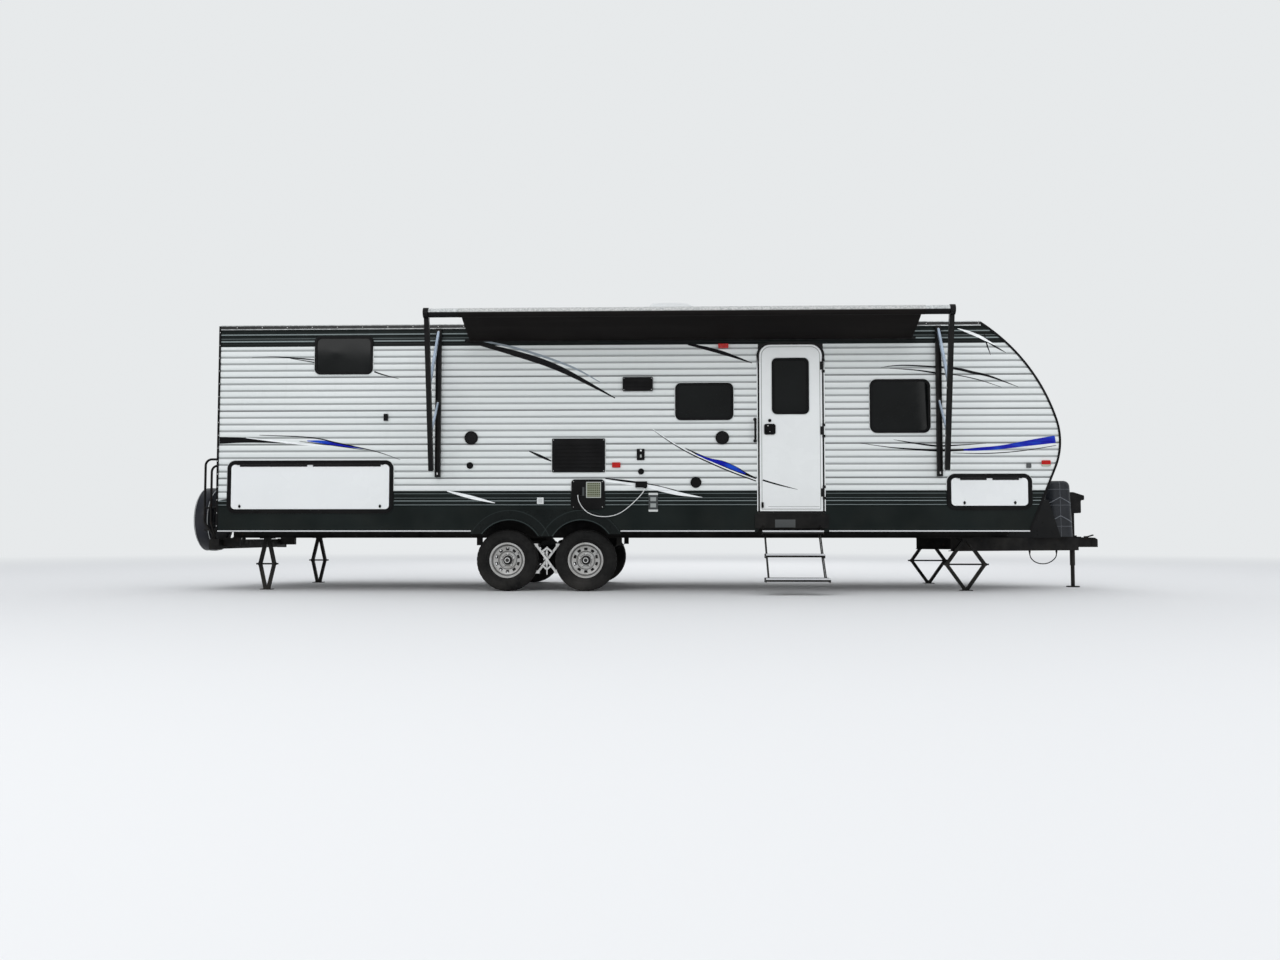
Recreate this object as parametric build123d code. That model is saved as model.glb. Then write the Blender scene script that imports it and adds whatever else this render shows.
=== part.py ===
from build123d import *
from math import asin, atan2, cos, degrees, hypot, radians, sin, sqrt, tan
import os

# Travel caravan, bumper-pull, tandem axle, parked on its legs with the awning a little way out.
# Working frame while modelling, in millimetres: X runs forward from the rear wall's face,
# Y is zero on the centre plane with the entry door on the -Y side, Z is zero on the ground.
# Every node is shifted at the end so that the origin is the bottom centre of the whole.

# Body
BODY_HALF = 1220.0
WALL = 50.0
SIDING = 8.0
SKIRT_Z = 635.0
ROOF_Z = 2870.0
ROOF_FRONT_X = 8200.0
NOSE_BROW = (8985.0, 1830.0)
NOSE_CHIN = (8965.0, 1310.0)
NOSE_FOOT_X = 8690.0
FLOOR_BOTTOM = 770.0
FLOOR_TOP = 845.0
CORE_OUT = BODY_HALF - SIDING
CORE_IN = BODY_HALF - WALL

# Ribbed siding: the bands of its profile, from the bottom edge up
RIB_PITCH = 73.0
RIB_GROOVE = 16.0
RIB_FLANK = 5.0
RIB_BASE = 2.5
SKIRT_BAND_TOP = 908.0
TOP_RIB_GAP = 45.0

# Mouldings
EDGE_WIDTH = 22.0
EDGE_PROUD = 6.0
RAIL_HEIGHT = 45.0
RAIL_PROUD = 12.0
SKIRT_RAIL_HEIGHT = 16.0

# Openings in the side walls, to the outside of their frames.
# columns: name, first x, last x, low z, high z, corner radius
WINDOWS_CURB = (
    ("bunk", 1056.0, 1690.0, 2336.0, 2752.0, 62.0),
    ("middle", 4955.0, 5575.0, 1826.0, 2226.0, 62.0),
    ("front", 7020.0, 7658.0, 1683.0, 2256.0, 75.0),
)
WINDOWS_ROAD = (
    ("bunk", 1075.0, 1708.0, 2080.0, 2476.0, 62.0),
    ("dinette", 3150.0, 4500.0, 1700.0, 2260.0, 75.0),
    ("galley", 5300.0, 6160.0, 1820.0, 2220.0, 62.0),
    ("front", 7020.0, 7646.0, 1683.0, 2244.0, 75.0),
)
WINDOW_FLANGE = 26.0
WINDOW_PROUD = 12.0
JAMB = 5.0
JAMB_INSET = 18.0
GLASS = 5.0
GLASS_DEPTH = 14.0

# Baggage doors, to the edges of their white slabs
# columns: name, side, first x, last x, low z, high z, how far in the latches stand
HATCHES = (
    ("rear_hatch", -1, 166.0, 1883.0, 880.0, 1359.0, 95.0),
    ("front_hatch_curb", -1, 7866.0, 8664.0, 911.0, 1203.0, 135.0),
    ("front_hatch_road", 1, 7866.0, 8664.0, 911.0, 1203.0, 135.0),
)
HATCH_RADIUS = 42.0
HATCH_FLANGE = 38.0
LATCH_RISE = 30.0
PANEL_GAP = 7.0
HATCH_THICK = 30.0
DOOR_THICK = 42.0
FRAME_PROUD = 10.0

# Entry door
DOOR_X = (5851.0, 6518.0)
DOOR_Z = (852.0, 2632.0)
DOOR_RADIUS = 120.0
DOOR_FOOT_RADIUS = 8.0
DOOR_FLANGE = 20.0
DOOR_WINDOW_X = (5984.0, 6378.0)
DOOR_WINDOW_Z = (1885.0, 2488.0)
DOOR_WINDOW_RADIUS = 55.0
# how far the door's three hinges stand above its foot, as shares of its height
HINGE_SHARES = (0.07, 0.44, 0.83)
HINGE_LENGTH = 150.0

# Folding steps under the door: their case, the face on the wall and the steps' own middle
STEP_CASE_X = (DOOR_X[0] - 16, DOOR_X[1] + 7)
STEP_FACE_X = (STEP_CASE_X[0] - 36, STEP_CASE_X[1] + 53)
STEP_FACE_Z = (672.0, 822.0)

# Hinges of the doors
HINGE_R = 7.0
PIN_R = 3.0
PIN_FIT = 0.05
LEAF = 3.0
LEAF_REACH = 26.0
HINGE_END = 30.0
HINGE_PLAY = 0.5
AXIS_OUT = BODY_HALF + FRAME_PROUD + HINGE_R

# Chassis
RAIL_INSET = 360.0
RAIL_Y = BODY_HALF - RAIL_INSET
RAIL_WIDTH = 60.0
RAIL_Z = (570.0, FLOOR_BOTTOM)
RAIL_X = (WALL, 8560.0)
RAIL_FLANGE = 9.0
RAIL_WEB = 7.0
CROSS_X = (150.0, 1350.0, 2550.0, 4600.0, 5700.0, 7000.0, 8400.0)
CROSS_DEPTH = 90.0
OUTRIGGER_X = (700.0, 1950.0, 5100.0, 7550.0)
TONGUE_START = (7950.0, RAIL_Y - RAIL_WIDTH / 2)
TONGUE_END = (9600.0, 78.0)
TONGUE_Z = (425.0, RAIL_Z[0])
TONGUE_FLANGE = 45.0
TONGUE_SKIN = 8.0
TRAY = 12.0
TRAY_X = (9160.0, 9470.0)
TRAY_HALF = 300.0
# columns: first x, last x of each brace between the tongue's members
BRACES_X = ((8470.0, 8520.0), (9020.0, 9060.0))
POST_WIDTH = 40.0

# Coupler, with the socket for a ball of 2-5/16 inch
BALL_SOCKET_R = 29.9
SOCKET_X = TONGUE_END[0] + 190.0
SOCKET_DEPTH = 42.0
COUPLER_NOSE_R = 60.0
COUPLER_TIP_X = SOCKET_X + COUPLER_NOSE_R
COUPLER_Z = (462.0, 575.0)
COUPLER_BACK_X = SOCKET_X - 310.0

# Tongue jack
JACK_X = SOCKET_X - 230.0
JACK_TUBE_R = 28.5
JACK_INNER_R = 22.0
JACK_FOOT_R = 75.0
JACK_FOOT_T = 12.0
JACK_HEAD_Z = (855.0, 1098.0)

# Wheels: tyre 205/75 on a 14 inch rim
AXLE_X = (3148.0, 3993.0)
TYRE_R = 331.5
TYRE_WIDTH = 205.0
RIM_R = 178.0
RIM_HALF = 72.0
RIM_LIP = 12.0
RIM_WELL = 15.0
RIM_SKIN = 6.0
WHEEL_INSET = 50.0
WHEEL_Y = BODY_HALF - WHEEL_INSET - TYRE_WIDTH / 2
SPINDLE_R = 18.0
AXLE_R = 30.0
DRUM_R = 127.0
DRUM_IN = 62.0
SLOT_COUNT = 10
SLOT_RING = 121.0

# Fender skirt, a double arch whose centres stand a little closer together than the axles
ARCH_INSET = 37.0
ARCH_X = (AXLE_X[0] + ARCH_INSET, AXLE_X[1] - ARCH_INSET)
ARCH_Z = 400.0
ARCH_R = 360.0
FENDER_BAND = 108.0
FENDER_PROUD = 24.0
FENDER_FOOT_Z = 612.0
VALLEY_Z = 588.0

# Awning
ARM_X = (2410.0, 7745.0)
CHANNEL_WIDTH = 57.0
CHANNEL_DEPTH = 42.0
CHANNEL_Z = (1220.0, 2822.0)
ROLLER_OUT = 620.0
ROLLER_Z = 2870.0
ROLLER_R = 38.0
ROLL_R = 50.0
DRUM_OF_ROLLER_R = 46.0
FABRIC_X = (2745.0, 7471.0)
FABRIC_T = 3.0
AWNING_RAIL_Z = 2695.0
AWNING_RAIL = (24.0, 18.0)
ARM_DEPTH = 46.0
ARM_WIDTH = 50.0

NODES = {}


def add(name, shape):
    """Keep a finished node under its name."""
    NODES[name] = shape


def fuse(pieces):
    """One solid, or one set of solids, from a list of overlapping or touching pieces."""
    whole = pieces[0]
    for piece in pieces[1:]:
        whole = whole + piece
    return whole


def group(pieces):
    """Separate solids of one node."""
    solids = []
    for piece in pieces:
        solids += list(piece.solids())
    return Compound(children=solids)


def block(x0, x1, y0, y1, z0, z1):
    """A box between two values on each axis."""
    centre = Pos((x0 + x1) / 2, (y0 + y1) / 2, (z0 + z1) / 2)
    return centre * Box(abs(x1 - x0), abs(y1 - y0), abs(z1 - z0))


def plate_y(sketch, y0, y1):
    """A sketch drawn in (x, z), as a plate between two values of y."""
    low, high = min(y0, y1), max(y0, y1)
    plane = Plane(origin=(0, high, 0), x_dir=(1, 0, 0), z_dir=(0, -1, 0))
    return extrude(plane * sketch, amount=high - low, dir=(0, -1, 0))


def plate_x(sketch, x0, x1):
    """A sketch drawn in (y, z), as a plate between two values of x."""
    plane = Plane(origin=(x0, 0, 0), x_dir=(0, 1, 0), z_dir=(1, 0, 0))
    return extrude(plane * sketch, amount=x1 - x0, dir=(1, 0, 0))


def plate_z(sketch, z0, z1):
    """A sketch drawn in (x, y), as a plate between two values of z."""
    return extrude(Pos(0, 0, z0) * sketch, amount=z1 - z0, dir=(0, 0, 1))


def polygon(*points):
    """A closed face through the points."""
    return make_face(Polyline(*points, close=True))


def rectangle(x0, x1, z0, z1, radius=0.0):
    """A rectangle between two values on each axis, with rounded corners if asked."""
    width, height = x1 - x0, z1 - z0
    centre = Pos((x0 + x1) / 2, (z0 + z1) / 2)
    if radius <= 0:
        return centre * Rectangle(width, height)
    return centre * RectangleRounded(width, height, radius)


def rod(start, end, radius):
    """A round bar between two points."""
    axis = Vector(*end) - Vector(*start)
    plane = Plane(origin=start, z_dir=axis)
    return extrude(plane * Circle(radius), amount=axis.length)


def bar(start, end, width, y0, y1):
    """A flat bar between two points of the (x, z) plane, as thick as from y0 to y1."""
    dx, dz = end[0] - start[0], end[1] - start[1]
    length = hypot(dx, dz)
    turn = degrees(atan2(dz, dx))
    middle = Pos((start[0] + end[0]) / 2, (start[1] + end[1]) / 2)
    return plate_y(middle * Rot(0, 0, turn) * Rectangle(length, width), y0, y1)


def cross_bar(start, end, width, x0, x1):
    """A flat bar between two points of the (y, z) plane, as thick as from x0 to x1."""
    dy, dz = end[0] - start[0], end[1] - start[1]
    length = hypot(dy, dz)
    turn = degrees(atan2(dz, dy))
    middle = Pos((start[0] + end[0]) / 2, (start[1] + end[1]) / 2)
    return plate_x(middle * Rot(0, 0, turn) * Rectangle(length, width), x0, x1)


def round_tube(points, radius, bends):
    """A tube along straight runs joined by tangent arcs."""
    path = FilletPolyline(*points, radius=bends)
    start = Plane(origin=path @ 0, z_dir=path % 0)
    return sweep(start * Circle(radius), path=path)


# Body shell


def body_outline():
    """Side view of the body: a straight tail, a flat roof and a nose of two arcs and a line."""
    foot = (NOSE_FOOT_X, SKIRT_Z)
    chin = NOSE_CHIN
    rise = Vector(chin[0] - foot[0], chin[1] - foot[1])
    lower = TangentArc(chin, NOSE_BROW, tangent=rise)
    upper = TangentArc(NOSE_BROW, (ROOF_FRONT_X, ROOF_Z), tangent=lower % 1)
    edges = [
        Line((0, SKIRT_Z), foot),
        Line(foot, chin),
        lower,
        upper,
        Line((ROOF_FRONT_X, ROOF_Z), (0, ROOF_Z)),
        Line((0, ROOF_Z), (0, SKIRT_Z)),
    ]
    return make_face(edges)


def arch_opening():
    """The two wheel arches, as they are cut in the side walls."""
    face = Pos(ARCH_X[0], ARCH_Z) * Circle(ARCH_R)
    face = face + Pos(ARCH_X[1], ARCH_Z) * Circle(ARCH_R)
    return face


def step_well():
    """The cut-out under the door where the folding steps are housed."""
    return rectangle(*STEP_CASE_X, SKIRT_Z - 5, FLOOR_BOTTOM)


def jamb_rectangle(opening, inset):
    """The square hole of a framed opening, inset from the frame's outside."""
    x0, x1, z0, z1 = opening[1:5]
    return rectangle(x0 + inset, x1 - inset, z0 + inset, z1 - inset)


def hatch_hole(hatch):
    """The square hole of a baggage door, outside its jamb."""
    x0, x1, z0, z1 = hatch[2:6]
    grow = PANEL_GAP + JAMB
    return rectangle(x0 - grow, x1 + grow, z0 - grow, z1 + grow)


def door_hole():
    """The square hole of the entry door, outside its jamb."""
    grow = PANEL_GAP + JAMB
    return rectangle(DOOR_X[0] - grow, DOOR_X[1] + grow, DOOR_Z[0] - grow, DOOR_Z[1] + grow)


def side_holes(side):
    """Every hole of one side wall."""
    windows = WINDOWS_CURB if side < 0 else WINDOWS_ROAD
    holes = [jamb_rectangle(window, JAMB_INSET) for window in windows]
    holes += [hatch_hole(hatch) for hatch in HATCHES if hatch[1] == side]
    holes.append(arch_opening())
    if side < 0:
        holes += [door_hole(), step_well()]
    return holes


def cut_holes(solid, side):
    """Cut one side's holes through a wall or its siding."""
    y0, y1 = side * (CORE_IN - 30), side * (BODY_HALF + 30)
    for hole in side_holes(side):
        solid = solid - plate_y(hole, y0, y1)
    return solid


def rib_rows(low, high):
    """The low and high edges of the siding's ribs between two heights."""
    count = int((high - low) // RIB_PITCH)
    first = high - count * RIB_PITCH
    return [(first + i * RIB_PITCH, first + (i + 1) * RIB_PITCH - RIB_GROOVE) for i in range(count)]


def siding_profile():
    """Section of the siding in (out, z): a flat skirt, then ribs with a groove between them."""
    points = [
        (0, SKIRT_Z),
        (SIDING, SKIRT_Z),
        (SIDING, SKIRT_BAND_TOP),
        (RIB_BASE, SKIRT_BAND_TOP + RIB_FLANK),
    ]
    for low, high in rib_rows(SKIRT_BAND_TOP + RIB_GROOVE, ROOF_Z - TOP_RIB_GAP):
        points += [
            (RIB_BASE, low),
            (SIDING, low + RIB_FLANK),
            (SIDING, high - RIB_FLANK),
            (RIB_BASE, high),
        ]
    return points + [(RIB_BASE, ROOF_Z), (0, ROOF_Z)]


def siding_side(side):
    """One side's ribbed aluminium siding."""
    profile = [(side * (CORE_OUT + out), z) for out, z in siding_profile()]
    sheet = plate_x(polygon(*profile), 0, NOSE_BROW[0] + 60)
    sheet = sheet & plate_y(body_outline(), -BODY_HALF - 5, BODY_HALF + 5)
    return cut_holes(sheet, side)


def siding_rear():
    """The rear wall's siding, between the two sides' sheets."""
    profile = [(SIDING - out, z) for out, z in siding_profile()]
    return plate_y(polygon(*profile), -CORE_OUT, CORE_OUT)


def build_shell():
    """Walls, floor and roof, split where the real panels meet."""
    outline = body_outline()
    inner = offset(outline, amount=-WALL, kind=Kind.INTERSECTION)
    span = rectangle(SIDING, NOSE_BROW[0] + 80, SKIRT_Z - 5, ROOF_Z + 5)
    for name, side in (("wall_curb", -1), ("wall_road", 1)):
        core = plate_y(outline & span, side * CORE_IN, side * CORE_OUT)
        add(name, cut_holes(core, side))
    add("siding_curb", siding_side(-1))
    add("siding_road", siding_side(1))
    add("siding_rear", siding_rear())
    add("wall_rear", block(SIDING, WALL, -CORE_IN, CORE_IN, SKIRT_Z, ROOF_Z - WALL))
    roof_span = rectangle(SIDING, ROOF_FRONT_X, ROOF_Z - WALL, ROOF_Z)
    add("roof", plate_y(roof_span, -CORE_IN, CORE_IN))
    nose_span = rectangle(ROOF_FRONT_X, NOSE_BROW[0] + 80, SKIRT_Z - 5, ROOF_Z + 5)
    lower_span = rectangle(NOSE_FOOT_X - 200, NOSE_BROW[0] + 80, SKIRT_Z - 5, NOSE_BROW[1])
    nose = (outline - inner) & (nose_span + lower_span)
    nose = nose - rectangle(0, NOSE_FOOT_X - 50, SKIRT_Z - 20, SKIRT_Z + WALL + 5)
    add("wall_front", plate_y(nose, -CORE_IN, CORE_IN))
    floor_face = inner & rectangle(WALL, NOSE_BROW[0], FLOOR_BOTTOM, FLOOR_TOP)
    add("floor", plate_y(floor_face, -CORE_IN, CORE_IN))


def build_mouldings():
    """Black edge moulding round each side, the gutter rails and the bright skirt rails."""
    outline = body_outline()
    ring = outline - offset(outline, amount=-EDGE_WIDTH, kind=Kind.INTERSECTION)
    ring = ring - rectangle(EDGE_WIDTH, NOSE_FOOT_X - 8, SKIRT_Z - 5, SKIRT_Z + EDGE_WIDTH + 1)
    ring = ring - rectangle(EDGE_WIDTH, ROOF_FRONT_X, ROOF_Z - RAIL_HEIGHT, ROOF_Z + 1)
    edges, gutters, rails = [], [], []
    # the skirt rail is broken by the wheel arches and by the face of the steps
    runs = ((EDGE_WIDTH, 2770.0), (4372.0, STEP_FACE_X[0] - 3), (STEP_FACE_X[1] + 3, NOSE_FOOT_X - 10))
    for side in (-1, 1):
        edges.append(plate_y(ring, side * BODY_HALF, side * (BODY_HALF + EDGE_PROUD)))
        low, high = ROOF_Z - RAIL_HEIGHT, ROOF_Z + 5
        lip = block(EDGE_WIDTH, ROOF_FRONT_X, side * BODY_HALF, side * (BODY_HALF + RAIL_PROUD), low, high)
        cap = block(EDGE_WIDTH, ROOF_FRONT_X, side * CORE_IN, side * BODY_HALF, ROOF_Z, high)
        gutters.append(lip + cap)
        for x0, x1 in runs:
            out = side * (BODY_HALF + EDGE_PROUD)
            rails.append(block(x0, x1, side * BODY_HALF, out, SKIRT_Z, SKIRT_Z + SKIRT_RAIL_HEIGHT))
    add("edge_mouldings", group(edges))
    add("body_rails", group(gutters + rails))


# Framed windows and doors


def window_frame(window, side):
    """A rounded flange on the siding with a jamb through the wall."""
    x0, x1, z0, z1, radius = window[1:]
    outer = rectangle(x0, x1, z0, z1, radius)
    sight = rectangle(x0 + WINDOW_FLANGE, x1 - WINDOW_FLANGE, z0 + WINDOW_FLANGE,
                      z1 - WINDOW_FLANGE, radius - WINDOW_FLANGE / 2)
    flange = plate_y(outer - sight, side * BODY_HALF, side * (BODY_HALF + WINDOW_PROUD))
    jamb = jamb_rectangle(window, JAMB_INSET) - sight
    return flange + plate_y(jamb, side * CORE_IN, side * BODY_HALF)


def window_pane(window, side):
    """The dark pane, set back in its frame."""
    x0, x1, z0, z1, radius = window[1:]
    face = rectangle(x0 + WINDOW_FLANGE, x1 - WINDOW_FLANGE, z0 + WINDOW_FLANGE,
                     z1 - WINDOW_FLANGE, radius - WINDOW_FLANGE / 2)
    outer = BODY_HALF + WINDOW_PROUD - GLASS_DEPTH / 2
    return plate_y(face, side * (outer - GLASS), side * outer)


def build_windows():
    """All fixed windows: black frames in one node, panes in another."""
    frames, panes = [], []
    for side, windows in ((-1, WINDOWS_CURB), (1, WINDOWS_ROAD)):
        for window in windows:
            frames.append(window_frame(window, side))
            panes.append(window_pane(window, side))
    add("window_frames", group(frames))
    add("window_glass", group(panes))


def hinge(start, along, towards, length, count):
    """A pinned hinge along a line: the moving leaves, and the fixed ends with their pin.

    The frame of the hinge has x along the pin, y towards the moving panel and z out of the wall.
    """
    plane = Plane(origin=start, x_dir=along, z_dir=Vector(*along).cross(Vector(*towards)))
    pitch = length / count
    moving, fixed = [], []
    for i in range(count):
        x0 = i * pitch
        for low, high, pieces, sign in (
            (x0, x0 + HINGE_END, fixed, -1),
            (x0 + HINGE_END + HINGE_PLAY, x0 + pitch - HINGE_END - HINGE_PLAY, moving, 1),
            (x0 + pitch - HINGE_END, x0 + pitch, fixed, -1),
        ):
            middle, size = (low + high) / 2, high - low
            barrel = Pos(middle, 0, 0) * Rot(0, 90, 0) * Cylinder(HINGE_R, size)
            leaf = Pos(middle, sign * LEAF_REACH / 2, -HINGE_R + LEAF / 2) * Box(size, LEAF_REACH, LEAF)
            knuckle = barrel + leaf
            if sign > 0:
                knuckle = knuckle - Pos(middle, 0, 0) * Rot(0, 90, 0) * Cylinder(PIN_R + PIN_FIT, size + 2)
            pieces.append(plane * knuckle)
        pin = Pos(x0 + pitch / 2, 0, 0) * Rot(0, 90, 0) * Cylinder(PIN_R, pitch - 2)
        fixed.append(plane * pin)
    return moving, fixed


def hatch_axis(hatch):
    """The hinge line of a baggage door: its low-x end."""
    return (hatch[2], hatch[1] * AXIS_OUT, hatch[5] + PANEL_GAP / 2)


def build_hatches():
    """Baggage doors that swing up, with their thick black frames."""
    frames = []
    for hatch in HATCHES:
        name, side, x0, x1, z0, z1, latch_in = hatch
        out = BODY_HALF + FRAME_PROUD
        slab = plate_y(rectangle(x0, x1, z0, z1, HATCH_RADIUS), side * (out - HATCH_THICK), side * out)
        clear = rectangle(x0 - PANEL_GAP, x1 + PANEL_GAP, z0 - PANEL_GAP, z1 + PANEL_GAP,
                          HATCH_RADIUS + PANEL_GAP)
        wide = PANEL_GAP + HATCH_FLANGE
        outer = rectangle(x0 - wide, x1 + wide, z0 - wide, z1 + wide, HATCH_RADIUS + wide)
        flange = plate_y(outer - clear, side * BODY_HALF, side * out)
        jamb = plate_y(hatch_hole(hatch) - clear, side * CORE_IN, side * BODY_HALF)
        inset = HATCH_RADIUS + 20
        length = x1 - x0 - 2 * inset
        axis = hatch_axis(hatch)
        along = (1, 0, 0) if side > 0 else (-1, 0, 0)
        first = x0 + inset if side > 0 else x1 - inset
        moving, fixed = hinge((first, axis[1], axis[2]), along, (0, 0, -1), length, 2)
        latches = [latch(x, z0 + LATCH_RISE, side) for x in (x0 + latch_in, x1 - latch_in)]
        add(name, fuse([slab] + moving + latches))
        frames.append(fuse([flange, jamb] + fixed))
    add("hatch_frames", group(frames))


def latch(x, z, side):
    """A thumb latch: a round rose with a tab across it."""
    out = BODY_HALF + FRAME_PROUD
    rose = plate_y(Pos(x, z) * Circle(14), side * out, side * (out + 4))
    tab = plate_y(Pos(x, z) * RectangleRounded(13, 36, 5), side * out, side * (out + 9))
    return rose + tab


def entry_outline(grow):
    """The entry door's outline: large radii at the head, nearly square corners at the foot."""
    x0, x1 = DOOR_X[0] - grow, DOOR_X[1] + grow
    z0, z1 = DOOR_Z[0] - grow, DOOR_Z[1] + grow
    face = rectangle(x0, x1, z0, z1)
    head = [v for v in face.vertices() if v.Y > (z0 + z1) / 2]
    face = fillet(head, DOOR_RADIUS + grow)
    foot = [v for v in face.vertices() if v.Y < z0 + 1]
    return fillet(foot, DOOR_FOOT_RADIUS)


def build_entry_door():
    """Entry door with window, handle and hinges, in its white frame."""
    out = -(BODY_HALF + FRAME_PROUD)
    window = rectangle(*DOOR_WINDOW_X, *DOOR_WINDOW_Z, DOOR_WINDOW_RADIUS)
    hole = rectangle(DOOR_WINDOW_X[0] + 14, DOOR_WINDOW_X[1] - 14, DOOR_WINDOW_Z[0] + 14,
                     DOOR_WINDOW_Z[1] - 14, DOOR_WINDOW_RADIUS - 14)
    sight = rectangle(DOOR_WINDOW_X[0] + 26, DOOR_WINDOW_X[1] - 26, DOOR_WINDOW_Z[0] + 26,
                      DOOR_WINDOW_Z[1] - 26, DOOR_WINDOW_RADIUS - 20)
    slab = plate_y(entry_outline(0) - hole, out, out + DOOR_THICK)
    axis = (DOOR_X[1] + PANEL_GAP / 2, -AXIS_OUT, DOOR_Z[0])
    moving, fixed = [], []
    for share in HINGE_SHARES:
        start = (axis[0], axis[1], DOOR_Z[0] + share * (DOOR_Z[1] - DOOR_Z[0]))
        leaves, knuckles = hinge(start, (0, 0, 1), (-1, 0, 0), HINGE_LENGTH, 1)
        moving += leaves
        fixed += knuckles
    add("entry_door", fuse([slab] + moving))
    surround = plate_y(window - sight, out - 8, out) + plate_y(hole - sight, out, out + DOOR_THICK)
    add("entry_door_glass", plate_y(sight, out + 2, out + 2 + GLASS))
    paddle = rectangle(5900, 6020, 1668, 1782, 22)
    recess = rectangle(5918, 5985, 1686, 1764, 12)
    plate = plate_y(paddle, out - 14, out) - plate_y(recess, out - 15, out - 5)
    grip = plate_y(rectangle(5926, 5977, 1702, 1752, 8), out - 26, out - 5)
    bolt = plate_y(Pos(5960, 1818) * Circle(17), out - 10, out)
    stop = plate_y(rectangle(5868, 5890, 890, 950, 6), out - 16, out)
    add("entry_door_fittings", group([surround, plate + grip, bolt, stop]))
    flange = entry_outline(PANEL_GAP + DOOR_FLANGE) - entry_outline(PANEL_GAP)
    jamb = door_hole() - entry_outline(PANEL_GAP)
    frame = plate_y(flange, -BODY_HALF, out) + plate_y(jamb, -CORE_IN, -BODY_HALF)
    add("entry_door_frame", fuse([frame] + fixed))


def build_partitions():
    """Plain boards behind the baggage doors: bulkheads and the beds' bases over them."""
    board = 15.0
    rear_x, rear_z = 2050.0, 1450.0
    front_x, front_z = 7700.0, 1290.0
    inner = offset(body_outline(), amount=-WALL, kind=Kind.INTERSECTION)
    front_face = inner & rectangle(front_x, NOSE_BROW[0], front_z, front_z + board)
    pieces = [
        block(rear_x, rear_x + board, -CORE_IN, CORE_IN, FLOOR_TOP, rear_z),
        block(WALL, rear_x + board, -CORE_IN, CORE_IN, rear_z, rear_z + board),
        block(front_x - board, front_x, -CORE_IN, CORE_IN, FLOOR_TOP, front_z + board),
        plate_y(front_face, -CORE_IN, CORE_IN),
    ]
    rear = pieces[0] + pieces[1]
    front = pieces[2] + pieces[3]
    add("storage_partitions", group([rear, front]))


# Fenders and running gear


def fender_face():
    """The double arch: bands round two arches with a straight head and a valley between."""
    low, high = ARCH_X
    band = ARCH_R + FENDER_BAND
    outer = Pos(low, ARCH_Z) * Circle(band) + Pos(high, ARCH_Z) * Circle(band)
    outer = outer + rectangle(low, high, VALLEY_Z, ARCH_Z + band)
    outer = outer & rectangle(low - band, high + band, VALLEY_Z, ARCH_Z + band)
    tails = rectangle(low - band - 10, low - ARCH_R / 2, VALLEY_Z - 5, FENDER_FOOT_Z)
    tails = tails + rectangle(high + ARCH_R / 2, high + band + 10, VALLEY_Z - 5, FENDER_FOOT_Z)
    return outer - tails - arch_opening()


def build_fenders():
    """Fender skirts, one on each side, each with a lip round its arches."""
    lip = 16.0
    pieces = []
    arches = arch_opening()
    rim = offset(arches, amount=lip, kind=Kind.ARC) - arches
    rim = rim & fender_face()
    for side in (-1, 1):
        skin = plate_y(fender_face(), side * BODY_HALF, side * (BODY_HALF + FENDER_PROUD - 8))
        bead = plate_y(rim, side * BODY_HALF, side * (BODY_HALF + FENDER_PROUD))
        pieces.append(skin + bead)
    add("fender_skirts", group(pieces))


def tyre():
    """Tyre ring about Y: bulged walls, round shoulders and a slightly crowned tread."""
    half = TYRE_WIDTH / 2
    points = {
        "bead": (RIM_HALF, RIM_R),
        "lip": (RIM_HALF, RIM_R + RIM_LIP),
        "flange": (RIM_HALF + 8, RIM_R + RIM_LIP + 2),
        "bulge": (half, RIM_R + 75),
        "hip": (half - 15, TYRE_R - 20),
        "round": (half - 22, TYRE_R - 8),
        "tread": (half - 34, TYRE_R - 3),
    }
    right = [points[key] for key in points]
    left = [(-y, r) for y, r in right]
    edges = [
        Line(left[0], right[0]),
        Line(right[0], right[1]),
        Line(right[1], right[2]),
        ThreePointArc(right[2], right[3], right[4]),
        ThreePointArc(right[4], right[5], right[6]),
        ThreePointArc(right[6], (0, TYRE_R), left[6]),
        ThreePointArc(left[6], left[5], left[4]),
        ThreePointArc(left[4], left[3], left[2]),
        Line(left[2], left[1]),
        Line(left[1], left[0]),
    ]
    plane = Plane(origin=(0, 0, 0), x_dir=(0, -1, 0), z_dir=(-1, 0, 0))
    return revolve(plane * make_face(edges), axis=Axis.Y)


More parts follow.
